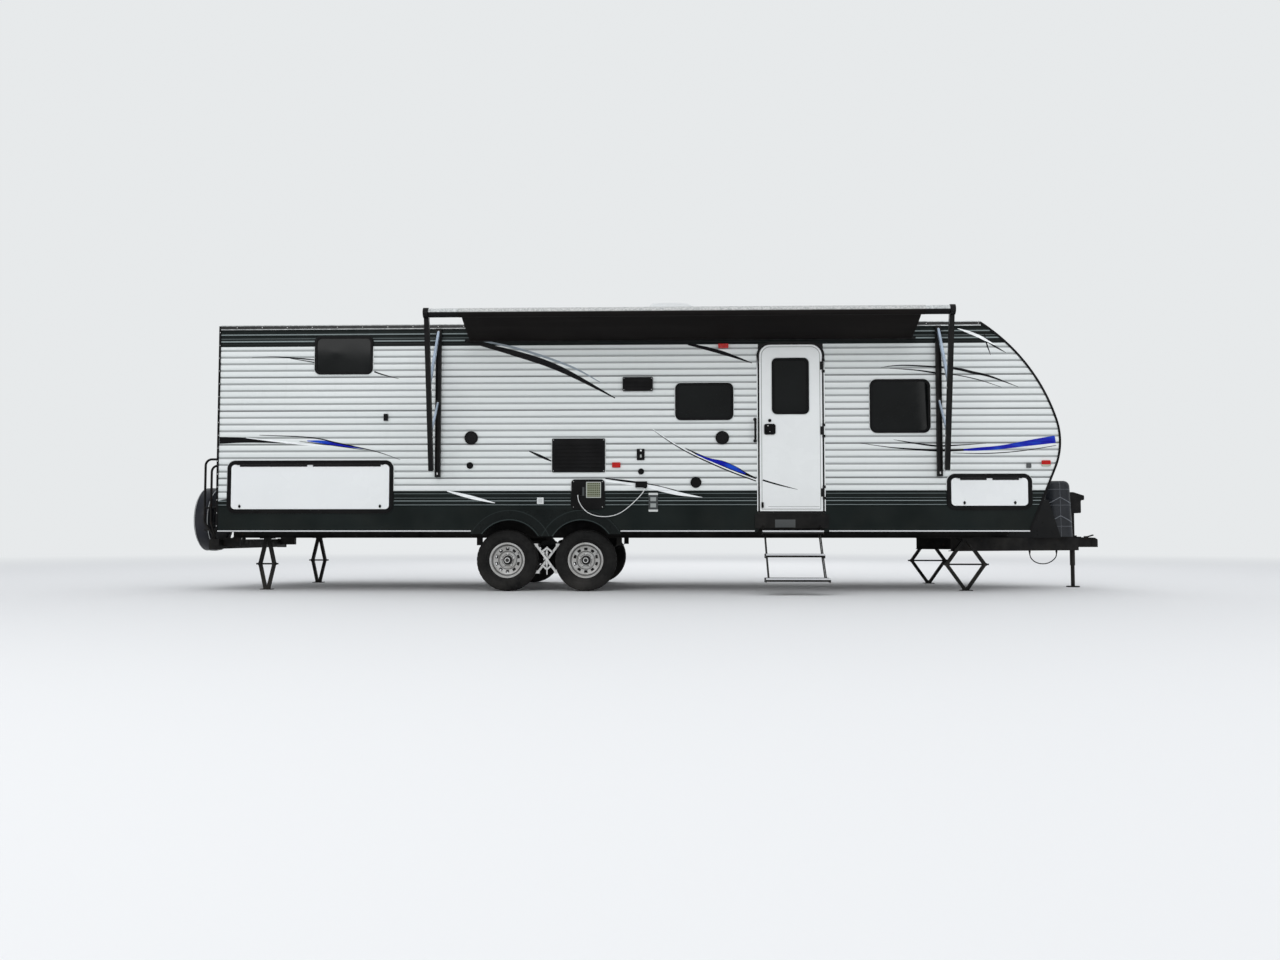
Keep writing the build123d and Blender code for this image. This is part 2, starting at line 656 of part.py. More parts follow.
def wheel():
    """Steel wheel with its slotted disc, hub and brake drum; outward is -Y."""
    plane = Plane(origin=(0, 0, 0), x_dir=(0, -1, 0), z_dir=(-1, 0, 0))
    well = RIM_R - RIM_WELL
    half = [(RIM_HALF, RIM_R + RIM_LIP), (RIM_HALF, RIM_R), (60, RIM_R), (45, well)]
    under = [(48, well - RIM_SKIN), (63, RIM_R - RIM_SKIN), (RIM_HALF + 7, RIM_R - RIM_SKIN),
             (RIM_HALF + 7, RIM_R + RIM_LIP)]
    mirrored = [(-y, r) for y, r in reversed(half)]
    rim = polygon(*half, *mirrored, *[(-y, r) for y, r in reversed(under)], *under)
    seat = well - RIM_SKIN / 2
    disc = polygon((26, seat), (46, 152), (42, 136), (36, 100), (20, 88), (20, 40), (14, 40),
                   (14, 92), (30, 104), (36, 138), (38, 146), (20, seat))
    hub = polygon((-DRUM_IN, 0), (-DRUM_IN, DRUM_R), (8, DRUM_R), (14, 92), (14, 46), (58, 40), (64, 30),
                  (66, 0))
    body = revolve(plane * rim, axis=Axis.Y)
    body = body + revolve(plane * disc, axis=Axis.Y)
    slots = []
    for i in range(SLOT_COUNT):
        turn = 360 / SLOT_COUNT * i
        window = Rot(0, turn, 0) * Pos(0, -36, SLOT_RING) * Rot(90, 0, 0) * Cylinder(13, 24)
        slots.append(window)
    for slot in slots:
        body = body - slot
    body = body + revolve(plane * hub, axis=Axis.Y)
    bore_depth = DRUM_IN + 40
    bore = Pos(0, DRUM_IN - bore_depth / 2, 0) * Rot(90, 0, 0) * Cylinder(SPINDLE_R + PIN_FIT, bore_depth)
    return body - bore


def wheel_names():
    """The four wheels. columns: body name, axle's x, side"""
    rows = []
    for side, word in ((-1, "curb"), (1, "road")):
        for x, place in zip(AXLE_X, ("rear", "front")):
            rows.append((f"wheel_{place}_{word}", x, side))
    return rows


def build_wheels():
    """Four wheels, each a tyre and a steel wheel with its drum."""
    rubber, steel = tyre(), wheel()
    for name, x, side in wheel_names():
        place = Pos(x, side * WHEEL_Y, TYRE_R)
        turn = Rot(0, 0, 180) if side > 0 else Rot(0, 0, 0)
        add(name + "_tyre", place * turn * rubber)
        add(name + "_rim", place * turn * steel)


def build_axles():
    """Axle beams with brake backing plates and the spindles that carry the hubs."""
    beams = []
    plate_in = WHEEL_Y - DRUM_IN - 14
    plate_out = WHEEL_Y - DRUM_IN - 7
    tip = WHEEL_Y + 32
    for x in AXLE_X:
        beam = rod((x, -plate_in, TYRE_R), (x, plate_in, TYRE_R), AXLE_R)
        for side in (-1, 1):
            beam = beam + rod((x, side * plate_in, TYRE_R), (x, side * plate_out, TYRE_R), DRUM_R - 8)
            beam = beam + rod((x, side * plate_out, TYRE_R), (x, side * tip, TYRE_R), SPINDLE_R)
        beams.append(beam)
    add("axles", group(beams))


def leaf(x, rise, radius, thick, half, side):
    """One spring leaf: a strip of a ring about a centre above the axle."""
    width = 45.0
    centre_z = rise + radius
    sweep_angle = half / radius
    outer, inner = radius, radius - thick

    def at(r, a):
        return (x + r * sin(a), centre_z - r * cos(a))

    edges = [
        ThreePointArc(at(outer, -sweep_angle), at(outer, 0), at(outer, sweep_angle)),
        Line(at(outer, sweep_angle), at(inner, sweep_angle)),
        ThreePointArc(at(inner, sweep_angle), at(inner, 0), at(inner, -sweep_angle)),
        Line(at(inner, -sweep_angle), at(outer, -sweep_angle)),
    ]
    y = side * RAIL_Y
    return plate_y(make_face(edges), y - width / 2, y + width / 2)


def build_suspension():
    """Leaf springs over the axles, with hangers, the equalizers between them and U-bolts."""
    thick = 8.0
    middle = (AXLE_X[0] + AXLE_X[1]) / 2
    reach = 347.0
    seat = TYRE_R + AXLE_R
    radius = 593.0
    main_r = radius - 3.5 * thick
    eye_z = seat + radius - sqrt(main_r * main_r - reach * reach)
    leaves = (main_r * asin(reach / main_r), 262.0, 190.0, 120.0)
    pieces = []
    for side in (-1, 1):
        y = side * RAIL_Y
        parts = []
        for x in AXLE_X:
            for i, half in enumerate(leaves):
                rise = seat + (len(leaves) - 1 - i) * thick
                parts.append(leaf(x, rise, radius - rise + seat, thick, half, side))
            parts.append(block(x - 45, x + 45, y - 30, y + 30, seat + len(leaves) * thick, seat + 44))
            parts.append(block(x - 38, x - 28, y - 34, y + 34, TYRE_R - 6, seat + 44))
            parts.append(block(x + 28, x + 38, y - 34, y + 34, TYRE_R - 6, seat + 44))
            for dx in (-reach, reach):
                parts.append(rod((x + dx, y - 30, eye_z), (x + dx, y + 30, eye_z), 17))
        for x in (AXLE_X[0] - reach, AXLE_X[1] + reach, middle):
            for dy in (-30, 22):
                parts.append(block(x - 28, x + 28, y + dy, y + dy + 8, eye_z - 20, RAIL_Z[0]))
        rocker = bar((middle - 76, eye_z), (middle, eye_z + 26), 44, y - 20, y + 20)
        rocker = rocker + bar((middle, eye_z + 26), (middle + 76, eye_z), 44, y - 20, y + 20)
        parts.append(rocker)
        parts.append(rod((middle, y - 30, eye_z + 24), (middle, y + 30, eye_z + 24), 12))
        spring = fuse(parts)
        pieces.append(spring)
    beams = NODES["axles"]
    add("suspension", group([piece - beams for piece in pieces]))


# Chassis


def rail_section():
    """An I-section in (y, z) about the rail's own middle."""
    low, high = RAIL_Z
    web = rectangle(-RAIL_WEB / 2, RAIL_WEB / 2, low, high)
    foot = rectangle(-RAIL_WIDTH / 2, RAIL_WIDTH / 2, low, low + RAIL_FLANGE)
    head = rectangle(-RAIL_WIDTH / 2, RAIL_WIDTH / 2, high - RAIL_FLANGE, high)
    return web + foot + head


def tongue_y(x):
    """How far the tongue's members stand from the centre plane at a place along it."""
    share = (x - TONGUE_START[0]) / (TONGUE_END[0] - TONGUE_START[0])
    return TONGUE_START[1] + share * (TONGUE_END[1] - TONGUE_START[1])


def build_chassis():
    """Main rails, cross-members with outriggers, and the converging tongue."""
    rails = [plate_x(Pos(side * RAIL_Y, 0) * rail_section(), *RAIL_X) for side in (-1, 1)]
    add("main_rails", group(rails))
    inner = RAIL_Y - RAIL_WIDTH / 2
    outer = RAIL_Y + RAIL_WIDTH / 2
    members = []
    for x in CROSS_X:
        web = block(x, x + 5, -inner, inner, FLOOR_BOTTOM - CROSS_DEPTH, FLOOR_BOTTOM)
        head = block(x, x + 40, -inner, inner, FLOOR_BOTTOM - 5, FLOOR_BOTTOM)
        foot = block(x, x + 40, -inner, inner, FLOOR_BOTTOM - CROSS_DEPTH, FLOOR_BOTTOM - CROSS_DEPTH + 5)
        members.append(fuse([web, head, foot]))
    for x in OUTRIGGER_X:
        for side in (-1, 1):
            shape = polygon((side * outer, FLOOR_BOTTOM), (side * CORE_IN, FLOOR_BOTTOM),
                            (side * CORE_IN, FLOOR_BOTTOM - 35), (side * outer, FLOOR_BOTTOM - 110))
            members.append(plate_x(shape, x, x + 6))
    add("cross_members", group(members))
    tongue = []
    length = hypot(TONGUE_END[0] - TONGUE_START[0], TONGUE_START[1] - TONGUE_END[1])
    low, high = TONGUE_Z
    for side in (-1, 1):
        start = Vector(TONGUE_START[0], side * TONGUE_START[1], 0)
        end = Vector(TONGUE_END[0], side * TONGUE_END[1], 0)
        plane = Plane(origin=start, x_dir=end - start, z_dir=(0, 0, 1))
        inward = -side
        middle = Pos(length / 2, -inward * TONGUE_SKIN / 2, (low + high) / 2)
        web = middle * Box(length, TONGUE_SKIN, high - low)
        flange_y = inward * (TONGUE_FLANGE / 2 - TONGUE_SKIN)
        head = Pos(length / 2, flange_y, high - TONGUE_SKIN / 2) * Box(length, TONGUE_FLANGE, TONGUE_SKIN)
        foot = Pos(length / 2, flange_y, low + TONGUE_SKIN / 2) * Box(length, TONGUE_FLANGE, TONGUE_SKIN)
        tongue.append(plane * (web + head + foot))
    braces = []
    for x0, x1 in BRACES_X:
        near, far = tongue_y(x0) + TONGUE_SKIN / 2, tongue_y(x1) + TONGUE_SKIN / 2
        braces.append(plate_z(polygon((x0, -near), (x1, -far), (x1, far), (x0, near)), low + 20, high - 20))
    # posts that carry the last cross-member on the tongue
    posts = []
    post_x, post_top = CROSS_X[-1], FLOOR_BOTTOM - CROSS_DEPTH
    half = POST_WIDTH / 2
    for side in (-1, 1):
        y = side * (tongue_y(post_x) - TONGUE_FLANGE / 2)
        posts.append(block(post_x, post_x + POST_WIDTH, y - half, y + half, high, post_top))
    tray = block(*TRAY_X, -TRAY_HALF, TRAY_HALF, high, high + TRAY)
    clips = []
    cable = cable_points()
    for point in (cable[0], cable[-1]):
        clips.append(rod(point, (point[0], point[1], low + 4), CABLE_D / 2 + 5))
    add("tongue_frame", group([fuse(tongue + braces + [tray] + clips)] + posts))


def build_coupler():
    """A-frame coupler: a pressed shell that narrows to the ball socket, with its latch."""
    low, high = COUPLER_Z
    plan = polygon((COUPLER_BACK_X, -95), (SOCKET_X - 70, -50), (SOCKET_X, -50), (SOCKET_X, 50),
                   (SOCKET_X - 70, 50), (COUPLER_BACK_X, 95))
    plan = plan + Pos(SOCKET_X, 0) * Circle(COUPLER_TIP_X - SOCKET_X)
    side = polygon((COUPLER_BACK_X, low), (COUPLER_TIP_X, low), (COUPLER_TIP_X, high - 30),
                   (SOCKET_X + 10, high - 4), (SOCKET_X - 80, high), (COUPLER_BACK_X, high))
    shell = plate_z(plan, low, high) & plate_y(side, -120, 120)
    socket = rod((SOCKET_X, 0, low - 1), (SOCKET_X, 0, low + SOCKET_DEPTH), BALL_SOCKET_R)
    dome = Pos(SOCKET_X, 0, low + SOCKET_DEPTH) * Sphere(BALL_SOCKET_R)
    shell = shell - socket - dome
    hollow = plate_z(polygon((COUPLER_BACK_X - 5, -88), (SOCKET_X - 75, -42), (SOCKET_X - 75, 42),
                             (COUPLER_BACK_X - 5, 88)), low - 1, high - 9)
    shell = shell - hollow
    tongue = NODES["tongue_frame"]
    lever = bar((SOCKET_X - 70, high + 2), (SOCKET_X + 12, high + 26), 14, -14, 14)
    boss = block(SOCKET_X - 90, SOCKET_X - 50, -18, 18, high - 2, high + 14)
    cap = block(COUPLER_BACK_X, JACK_X + 70, -95, 95, high, high + 8)
    cap = cap - rod((JACK_X, 0, high - 5), (JACK_X, 0, high + 12), JACK_TUBE_R)
    shell = shell - rod((JACK_X, 0, low - 5), (JACK_X, 0, high + 12), JACK_TUBE_R)
    add("coupler", fuse([shell, lever, boss, cap]) - tongue)


def build_tongue_jack():
    """Power tongue jack: outer tube through the coupler, inner tube, foot and motor head."""
    outer = rod((JACK_X, 0, 250), (JACK_X, 0, JACK_HEAD_Z[0] + 5), JACK_TUBE_R)
    inner = rod((JACK_X, 0, JACK_FOOT_T - 1), (JACK_X, 0, 260), JACK_INNER_R)
    foot = rod((JACK_X, 0, 0), (JACK_X, 0, JACK_FOOT_T), JACK_FOOT_R)
    collar = rod((JACK_X, 0, COUPLER_Z[1] + 8), (JACK_X, 0, COUPLER_Z[1] + 22), 52)
    low, high = JACK_HEAD_Z
    back, neck, nose = JACK_X - 62, JACK_X + 88, JACK_X + 127
    head_face = polygon((back, low), (neck, low), (neck, high - 96), (nose, high - 92), (nose, high - 40),
                        (JACK_X + 4, high), (back, high))
    head = plate_y(fillet(head_face.vertices(), 14), -58, 58)
    lamp = block(JACK_X + 84, JACK_X + 98, -30, 30, low + 50, low + 80)
    add("tongue_jack", fuse([outer, inner, foot, collar, head, lamp]))


def scissor_jack(x, y, spread):
    """A scissor jack from the rail to the ground, spread so far at its middle."""
    top, foot = RAIL_Z[0], 0.0
    head_z, base_z = top - 24, foot + 22
    waist = (head_z + base_z) / 2
    pieces = [
        block(x - 75, x + 75, y - 40, y + 40, top - 8, top),
        block(x - 34, x + 34, y - 26, y + 26, head_z - 16, top - 4),
        block(x - 65, x + 65, y - 45, y + 45, foot, foot + 7),
        block(x - 34, x + 34, y - 26, y + 26, foot + 3, base_z + 16),
        rod((x - spread - 45, y, waist), (x + spread + 45, y, waist), 9),
    ]
    for sign in (-1, 1):
        elbow = (x + sign * spread, waist)
        pieces.append(bar((x + sign * 18, head_z), elbow, 34, y - 22, y + 22))
        pieces.append(bar((x + sign * 18, base_z), elbow, 34, y - 19, y + 19))
        pieces.append(rod((elbow[0], y - 28, elbow[1]), (elbow[0], y + 28, elbow[1]), 20))
    return fuse(pieces)


def build_stabilizers():
    """Four scissor stabilizers under the rails, the front ones opened wider."""
    rows = ((434.0, 78.0), (8100.0, 205.0))
    jacks = [scissor_jack(x, side * RAIL_Y, spread) for x, spread in rows for side in (-1, 1)]
    add("stabilizer_jacks", group(jacks))


def build_steps():
    """Folding entry steps, let down: three treads between two pairs of links."""
    x0, x1 = STEP_CASE_X
    front = -(BODY_HALF + 14)
    back = -(RAIL_Y + RAIL_WIDTH / 2 + 6)
    low, skin = 655.0, 6.0
    roof = FLOOR_BOTTOM
    case = [
        block(x0, x1, front, back, roof - skin, roof),
        block(x0, x0 + skin, front, back, low, roof),
        block(x1 - skin, x1, front, back, low, roof),
        block(*STEP_FACE_X, front, -BODY_HALF, *STEP_FACE_Z),
        block(x0, x1, back - skin, back, low, roof),
    ]
    # columns: middle distance out of the wall, top z, half width
    treads = ((95.0, 648.0, 318.0), (310.0, 408.0, 300.0), (545.0, 170.0, 322.0))
    depth = 105.0
    middle = (x0 + x1) / 2
    steps = []
    links = []
    knots = [(-(BODY_HALF - 60), 700.0)]
    for out, z, half in treads:
        y = -(BODY_HALF + out)
        board = block(middle - half, middle + half, y - depth, y + depth, z - 22, z)
        nose = block(middle - half, middle + half, y - depth - 8, y - depth + 6, z - 34, z + 2)
        cheek = 44.0
        for side in (-1, 1):
            edge = middle + side * half
            board = board + block(edge - side * 5, edge, y - depth, y + depth, z - cheek, z)
        steps.append(board + nose)
        knots.append((y, z - 20))
    for side in (-1, 1):
        for i in range(len(knots) - 1):
            start, end = knots[i], knots[i + 1]
            narrow = min(treads[i][2], treads[max(i - 1, 0)][2])
            xa = middle + side * (narrow - 14)
            for shift in (-55.0, 55.0):
                link = cross_bar((start[0] + shift, start[1]), (end[0] + shift, end[1]), 28, xa - 4, xa + 4)
                links.append(link)
    # the case's cheeks reach in to the first pair of links
    for side in (-1, 1):
        edge = middle + side * (treads[0][2] - 14)
        wall = x1 - 6 if side > 0 else x0 + 6
        links.append(block(min(edge, wall), max(edge, wall), -BODY_HALF + 10, -BODY_HALF + 110, 690, 712))
    plate = block(middle - 170, middle + 44, front - 3, front, STEP_FACE_Z[0] + 10, STEP_FACE_Z[0] + 94)
    add("entry_steps", fuse(case + steps + links + [plate]))


BUMPER_HALF = BODY_HALF - 220.0
BUMPER_Z = (450.0, 550.0)
SPARE_Y = -550.0
SPARE_Z = 780.0
SPARE_R = 360.0
SPARE_X = -205.0
SPARE_DEPTH = 205.0
HOOP_GAP = 55.0
# columns: foot's x, distance behind the wall, height of the top run
HOOPS = (
    (-140.0, 235.0, 1437.0),
    (-120.0, 165.0, 1367.0),
)


def build_rear():
    """Box bumper, the tube frame that carries the spare wheel, and the spare in its cover."""
    low, high = BUMPER_Z
    bumper = block(-150, -50, -BUMPER_HALF, BUMPER_HALF, low, high)
    cap_end = BUMPER_HALF + 22
    caps = [block(-156, -44, side * BUMPER_HALF, side * cap_end, low - 6, high + 6) for side in (-1, 1)]
    hooks = [block(-50, 130, side * RAIL_Y - 28, side * RAIL_Y + 28, low + 30, RAIL_Z[0]) for side in (-1, 1)]
    tube = 12.5
    spare_y, spare_z, spare_r, spare_front = SPARE_Y, SPARE_Z, SPARE_R, SPARE_X
    left, right = spare_y - spare_r - HOOP_GAP, spare_y + spare_r + HOOP_GAP
    hoops = []
    for foot_x, out, height in HOOPS:
        for y in (left, right):
            route = [(foot_x, y, high), (foot_x, y, high + 60), (-out, y, high + 190), (-out, y, height),
                     (0.0, y, height)]
            hoops.append(round_tube(route, tube, [60.0, 60.0, 70.0]))
    rungs = []
    for z in (spare_z - 120, spare_z + 120):
        rungs.append(rod((-HOOPS[1][1], left, z), (-HOOPS[1][1], right, z), tube))
        for y in (left, right):
            rungs.append(rod((-HOOPS[0][1], y, z), (-HOOPS[1][1], y, z), 10))
    hub = block(-200, -HOOPS[1][1], spare_y - 40, spare_y + 40, spare_z - 140, spare_z + 140)
    stud = rod((spare_front, spare_y, spare_z), (-180, spare_y, spare_z), 50)
    add("rear_bumper", fuse([bumper] + caps + hooks + hoops + rungs + [hub, stud]))
    edge = 45.0
    section = rectangle(0, SPARE_DEPTH, 0, spare_r)
    corners = [v for v in section.vertices() if v.Y > spare_r / 2]
    section = fillet(corners, edge)
    plane = Plane(origin=(spare_front, spare_y, spare_z), x_dir=(-1, 0, 0), z_dir=(0, 1, 0))
    drum = revolve(plane * section, axis=Axis((spare_front, spare_y, spare_z), (1, 0, 0)))
    add("spare_wheel_cover", drum)


COVER_X = (TRAY_X[0] + 5, TRAY_X[1] + 10)
COVER_HALF = 330.0
COVER_CORNER = 105.0
COVER_TOP = 1220.0
COVER_TAPER = 2.5
WEDGE_APEX = (9160.0, 1000.0)
WEDGE_FOOT_X = 9293.0
WEDGE_HALF = 400.0


def build_tongue_boxes():
    """Bottle cover with two tapered lobes, and the wedge-shaped box between it and the nose."""
    floor_z = TONGUE_Z[1]
    x0, x1 = COVER_X
    lobes = []
    for side in (-1, 1):
        middle = side * COVER_HALF / 2
        plan = rectangle(x0, x1, middle - COVER_HALF / 2, middle + COVER_HALF / 2, COVER_CORNER)
        height = COVER_TOP - floor_z - TRAY
        lobe = extrude(Pos(0, 0, floor_z + TRAY) * plan, amount=height, dir=(0, 0, 1), taper=COVER_TAPER)
        lobe = fillet(lobe.edges().group_by(Axis.Z)[-1], 68)
        lobes.append(lobe)
    bridge = block(x0 + 70, x1 - 70, -100, 100, floor_z + TRAY, COVER_TOP - 60)
    add("bottle_cover", fuse(lobes + [bridge]))
    slope = (NOSE_CHIN[0] - NOSE_FOOT_X) / (NOSE_CHIN[1] - SKIRT_Z)
    gap = 28.0
    apex_x, apex = WEDGE_APEX

    def nose_x(z):
        return NOSE_FOOT_X + (z - SKIRT_Z) * slope + gap

    side = polygon((nose_x(floor_z), floor_z), (nose_x(apex), apex), (apex_x, apex), (WEDGE_FOOT_X, floor_z))
    wedge = plate_y(side, -WEDGE_HALF, WEDGE_HALF)
    seat = COVER_HALF + 6
    wedge = wedge - block(x0 - 8, WEDGE_FOOT_X + 10, -seat, seat, floor_z - 1, apex + 1)
    add("tongue_box", wedge)


# Awning


def arm_points():
    """The awning's own section in (out, z): where its members start and end."""
    return {
        "arm_foot": (330.0, 1270.0),
        "arm_head": (ROLLER_OUT - 22, ROLLER_Z - 20),
        "rafter_wall": (CHANNEL_DEPTH - 10, 2780.0),
        "rafter_arm": (468.0, 2100.0),
        "strut_wall": (CHANNEL_DEPTH - 10, 2020.0),
        "strut_arm": (388.0, 1620.0),
    }


def build_awning():
    """Patio awning, a little way out: wall channels, arms, rafters, roller, fabric and rail."""
    knots = {key: (-(BODY_HALF + out), z) for key, (out, z) in arm_points().items()}
    arms, rafters = [], []
    for x in ARM_X:
        half = CHANNEL_WIDTH / 2
        channel = block(x - half, x + half, -BODY_HALF, -(BODY_HALF + CHANNEL_DEPTH), *CHANNEL_Z)
        groove = block(x - half + 9, x + half - 9, -(BODY_HALF + 12), -(BODY_HALF + CHANNEL_DEPTH + 1),
                       CHANNEL_Z[0] + 60, CHANNEL_Z[1] - 20)
        channel = channel - groove
        channel = channel + block(x - half, x + half, -(BODY_HALF + 4), -(BODY_HALF + CHANNEL_DEPTH),
                                  2750, CHANNEL_Z[1] - 12)
        channel = channel + block(x - half, x + half, -(BODY_HALF + 4), -(BODY_HALF + CHANNEL_DEPTH),
                                  1990, 2050)
        width = ARM_WIDTH / 2
        arm = cross_bar(knots["arm_foot"], knots["arm_head"], ARM_DEPTH, x - width, x + width)
        head = rod((x - width, -(BODY_HALF + ROLLER_OUT), ROLLER_Z),
                   (x + width, -(BODY_HALF + ROLLER_OUT), ROLLER_Z), ROLL_R + 4)
        bone = arm + head
        rafter = cross_bar(knots["rafter_wall"], knots["rafter_arm"], 38, x - 12, x + 12)
        strut = cross_bar(knots["strut_wall"], knots["strut_arm"], 22, x - 9, x + 9)
        arms += [channel, bone]
        rafters += [rafter - channel - bone, strut - channel - bone]
    add("awning_rafters", group(rafters))
    y, width = -(BODY_HALF + ROLLER_OUT), ARM_WIDTH / 2
    tube = rod((ARM_X[0] + width, y, ROLLER_Z), (ARM_X[1] - width, y, ROLLER_Z), ROLLER_R)
    # the drums that house the springs, one at each end of the roll
    for x0, x1 in ((ARM_X[0] + width + 6, FABRIC_X[0] - 3), (FABRIC_X[1] + 3, ARM_X[1] - width - 6)):
        tube = tube + rod((x0, y, ROLLER_Z), (x1, y, ROLLER_Z), DRUM_OF_ROLLER_R)
    add("awning_roller", tube)
    low, deep = AWNING_RAIL
    rail = block(FABRIC_X[0] - 40, FABRIC_X[1] + 40, -BODY_HALF, -(BODY_HALF + deep),
                 AWNING_RAIL_Z - low / 2, AWNING_RAIL_Z + low / 2)
    add("awning_arms", group(arms + [rail]))
    roll = rod((FABRIC_X[0], y, ROLLER_Z), (FABRIC_X[1], y, ROLLER_Z), ROLL_R)
    roll = roll - rod((FABRIC_X[0] - 1, y, ROLLER_Z), (FABRIC_X[1] + 1, y, ROLLER_Z), ROLLER_R)
    wall_y, wall_z = -(BODY_HALF + deep), AWNING_RAIL_Z
    run, rise = y - wall_y, ROLLER_Z - wall_z
    far = hypot(run, rise)
    touch = ROLL_R - FABRIC_T / 2
    # the upper tangent from the rail to the roll
    line_angle = atan2(rise, -run) + atan2(touch, sqrt(far * far - touch * touch))
    length = sqrt(far * far - touch * touch)
    end = (wall_y - length * cos(line_angle), wall_z + length * sin(line_angle))
    sheet = cross_bar((wall_y, wall_z), end, FABRIC_T, *FABRIC_X)
    sheet = sheet - rail
    hollow = rod((FABRIC_X[0] - 1, y, ROLLER_Z), (FABRIC_X[1] + 1, y, ROLLER_Z), ROLLER_R)
    add("awning_fabric", roll + (sheet - hollow))


# Roof and fittings


VENT_X = 2200.0
VENT_HALF = 210.0


def vent_axis():
    """The middle of the roof vent's hinge line, along its rear edge."""
    return (VENT_X - VENT_HALF - 9, 0.0, ROOF_Z + 43)


def build_roof_items():
    """Air conditioner, a vent with its hinged lid, and two pipe caps."""
    x0, x1, half, top = 4620.0, 5330.0, 330.0, 3285.0
    side = make_face([
        Line((x0, ROOF_Z), (x1, ROOF_Z)),
        Line((x1, ROOF_Z), (x1, ROOF_Z + 90)),
        ThreePointArc((x1, ROOF_Z + 90), (x1 - 75, ROOF_Z + 300), (x1 - 290, top)),
        Line((x1 - 290, top), (x0 + 120, top)),
        ThreePointArc((x0 + 120, top), (x0 + 30, top - 40), (x0, top - 140)),
        Line((x0, top - 140), (x0, ROOF_Z)),
    ])
    shroud = plate_y(side, -half, half)
    plan = plate_z(rectangle(x0, x1, -half, half, 90), ROOF_Z, top)
    shroud = shroud & plan
    for i in range(6):
        z = ROOF_Z + 90 + 38 * i
        for sign in (-1, 1):
            slot = block(x0 + 110, x0 + 330, sign * (half - 7), sign * (half + 5), z, z + 16)
            shroud = shroud - slot
    add("roof_air_conditioner", shroud)
    vx, size = VENT_X, VENT_HALF
    curb = block(vx - size, vx + size, -size, size, ROOF_Z, ROOF_Z + 34)
    curb = curb - block(vx - size + 22, vx + size - 22, -size + 22, size - 22, ROOF_Z + 4, ROOF_Z + 40)
    pipes = [rod((x, y, ROOF_Z), (x, y, ROOF_Z + 95), 30) + rod((x, y, ROOF_Z + 75), (x, y, ROOF_Z + 100), 48)
             for x, y in ((3300.0, 720.0), (6050.0, 760.0))]
    axis = vent_axis()
    start = (axis[0], size - 20, axis[2])
    leaves, knuckles = hinge(start, (0, -1, 0), (1, 0, 0), 2 * size - 40, 1)
    foot = block(axis[0] - LEAF_REACH, vx - size, -size + 20, size - 20, ROOF_Z, ROOF_Z + 34)
    post = [block(axis[0] - 12, axis[0] + 4, y0, y0 + HINGE_END - 1, ROOF_Z + 30, axis[2])
            for y0 in (-size + 20, size - 20 - HINGE_END + 1)]
    add("roof_vent_base", group([fuse([curb, foot] + knuckles + post)] + pipes))
    lid = block(vx - size + 2, vx + size + 14, -size - 14, size + 14, ROOF_Z + 36, ROOF_Z + 40)
    dome_plan = rectangle(vx - size + 12, vx + size - 6, -size + 4, size - 4, 40)
    dome = plate_z(dome_plan, ROOF_Z + 39, ROOF_Z + 72)
    dome = fillet(dome.edges().group_by(Axis.Z)[-1], 24)
    add("roof_vent_lid", fuse([lid, dome] + leaves))


# columns: first x, last x, low z, high z, corner radius, proud
PANELS_CURB = (
    ("louvre", 3638.0, 4205.0, 1271.0, 1632.0, 12.0, 14.0),
    ("water_heater", 3846.0, 4202.0, 876.0, 1195.0, 40.0, 14.0),
    ("range_hood", 4393.0, 4716.0, 2140.0, 2290.0, 10.0, 26.0),
    ("service_plate", 4670.0, 4770.0, 850.0, 1050.0, 8.0, 9.0),
    ("switch_plate", 4545.0, 4627.0, 1400.0, 1520.0, 6.0, 12.0),
    ("small_plate", 3479.0, 3549.0, 932.0, 1002.0, 5.0, 12.0),
    ("dark_box", 1818.0, 1863.0, 1830.0, 1905.0, 6.0, 22.0),
)
# columns: x, z, radius, proud
ROUNDS_CURB = (
    (2766.0, 1643.0, 72.0, 14.0),
    (5456.0, 1637.0, 72.0, 14.0),
    (2754.0, 1346.0, 35.0, 12.0),
    (5174.0, 1161.0, 58.0, 14.0),
    (4590.0, 1278.0, 32.0, 12.0),
)
# the road side, by type: furnace exhaust, power inlet, water and drain hatch, refrigerator vent
PANELS_ROAD = (
    ("refrigerator_vent", 4750.0, 5150.0, 1120.0, 1580.0, 12.0, 14.0),
    ("service_hatch", 2150.0, 2500.0, 960.0, 1300.0, 25.0, 14.0),
)
ROUNDS_ROAD = (
    (1950.0, 1120.0, 60.0, 18.0),
    (5600.0, 1150.0, 55.0, 14.0),
)


def louvred(panel, side):
    """A panel with slanted slots across it."""
    x0, x1, z0, z1, radius, proud = panel[1:]
    face = rectangle(x0, x1, z0, z1, radius)
    solid = plate_y(face, side * BODY_HALF, side * (BODY_HALF + proud))
    rows = int((z1 - z0 - 60) // 40)
    for i in range(rows):
        z = z0 + 36 + 40 * i
        slot = plate_y(rectangle(x0 + 30, x1 - 30, z, z + 18), side * (BODY_HALF + proud - 8),
                       side * (BODY_HALF + proud + 2))
        solid = solid - slot
    return solid


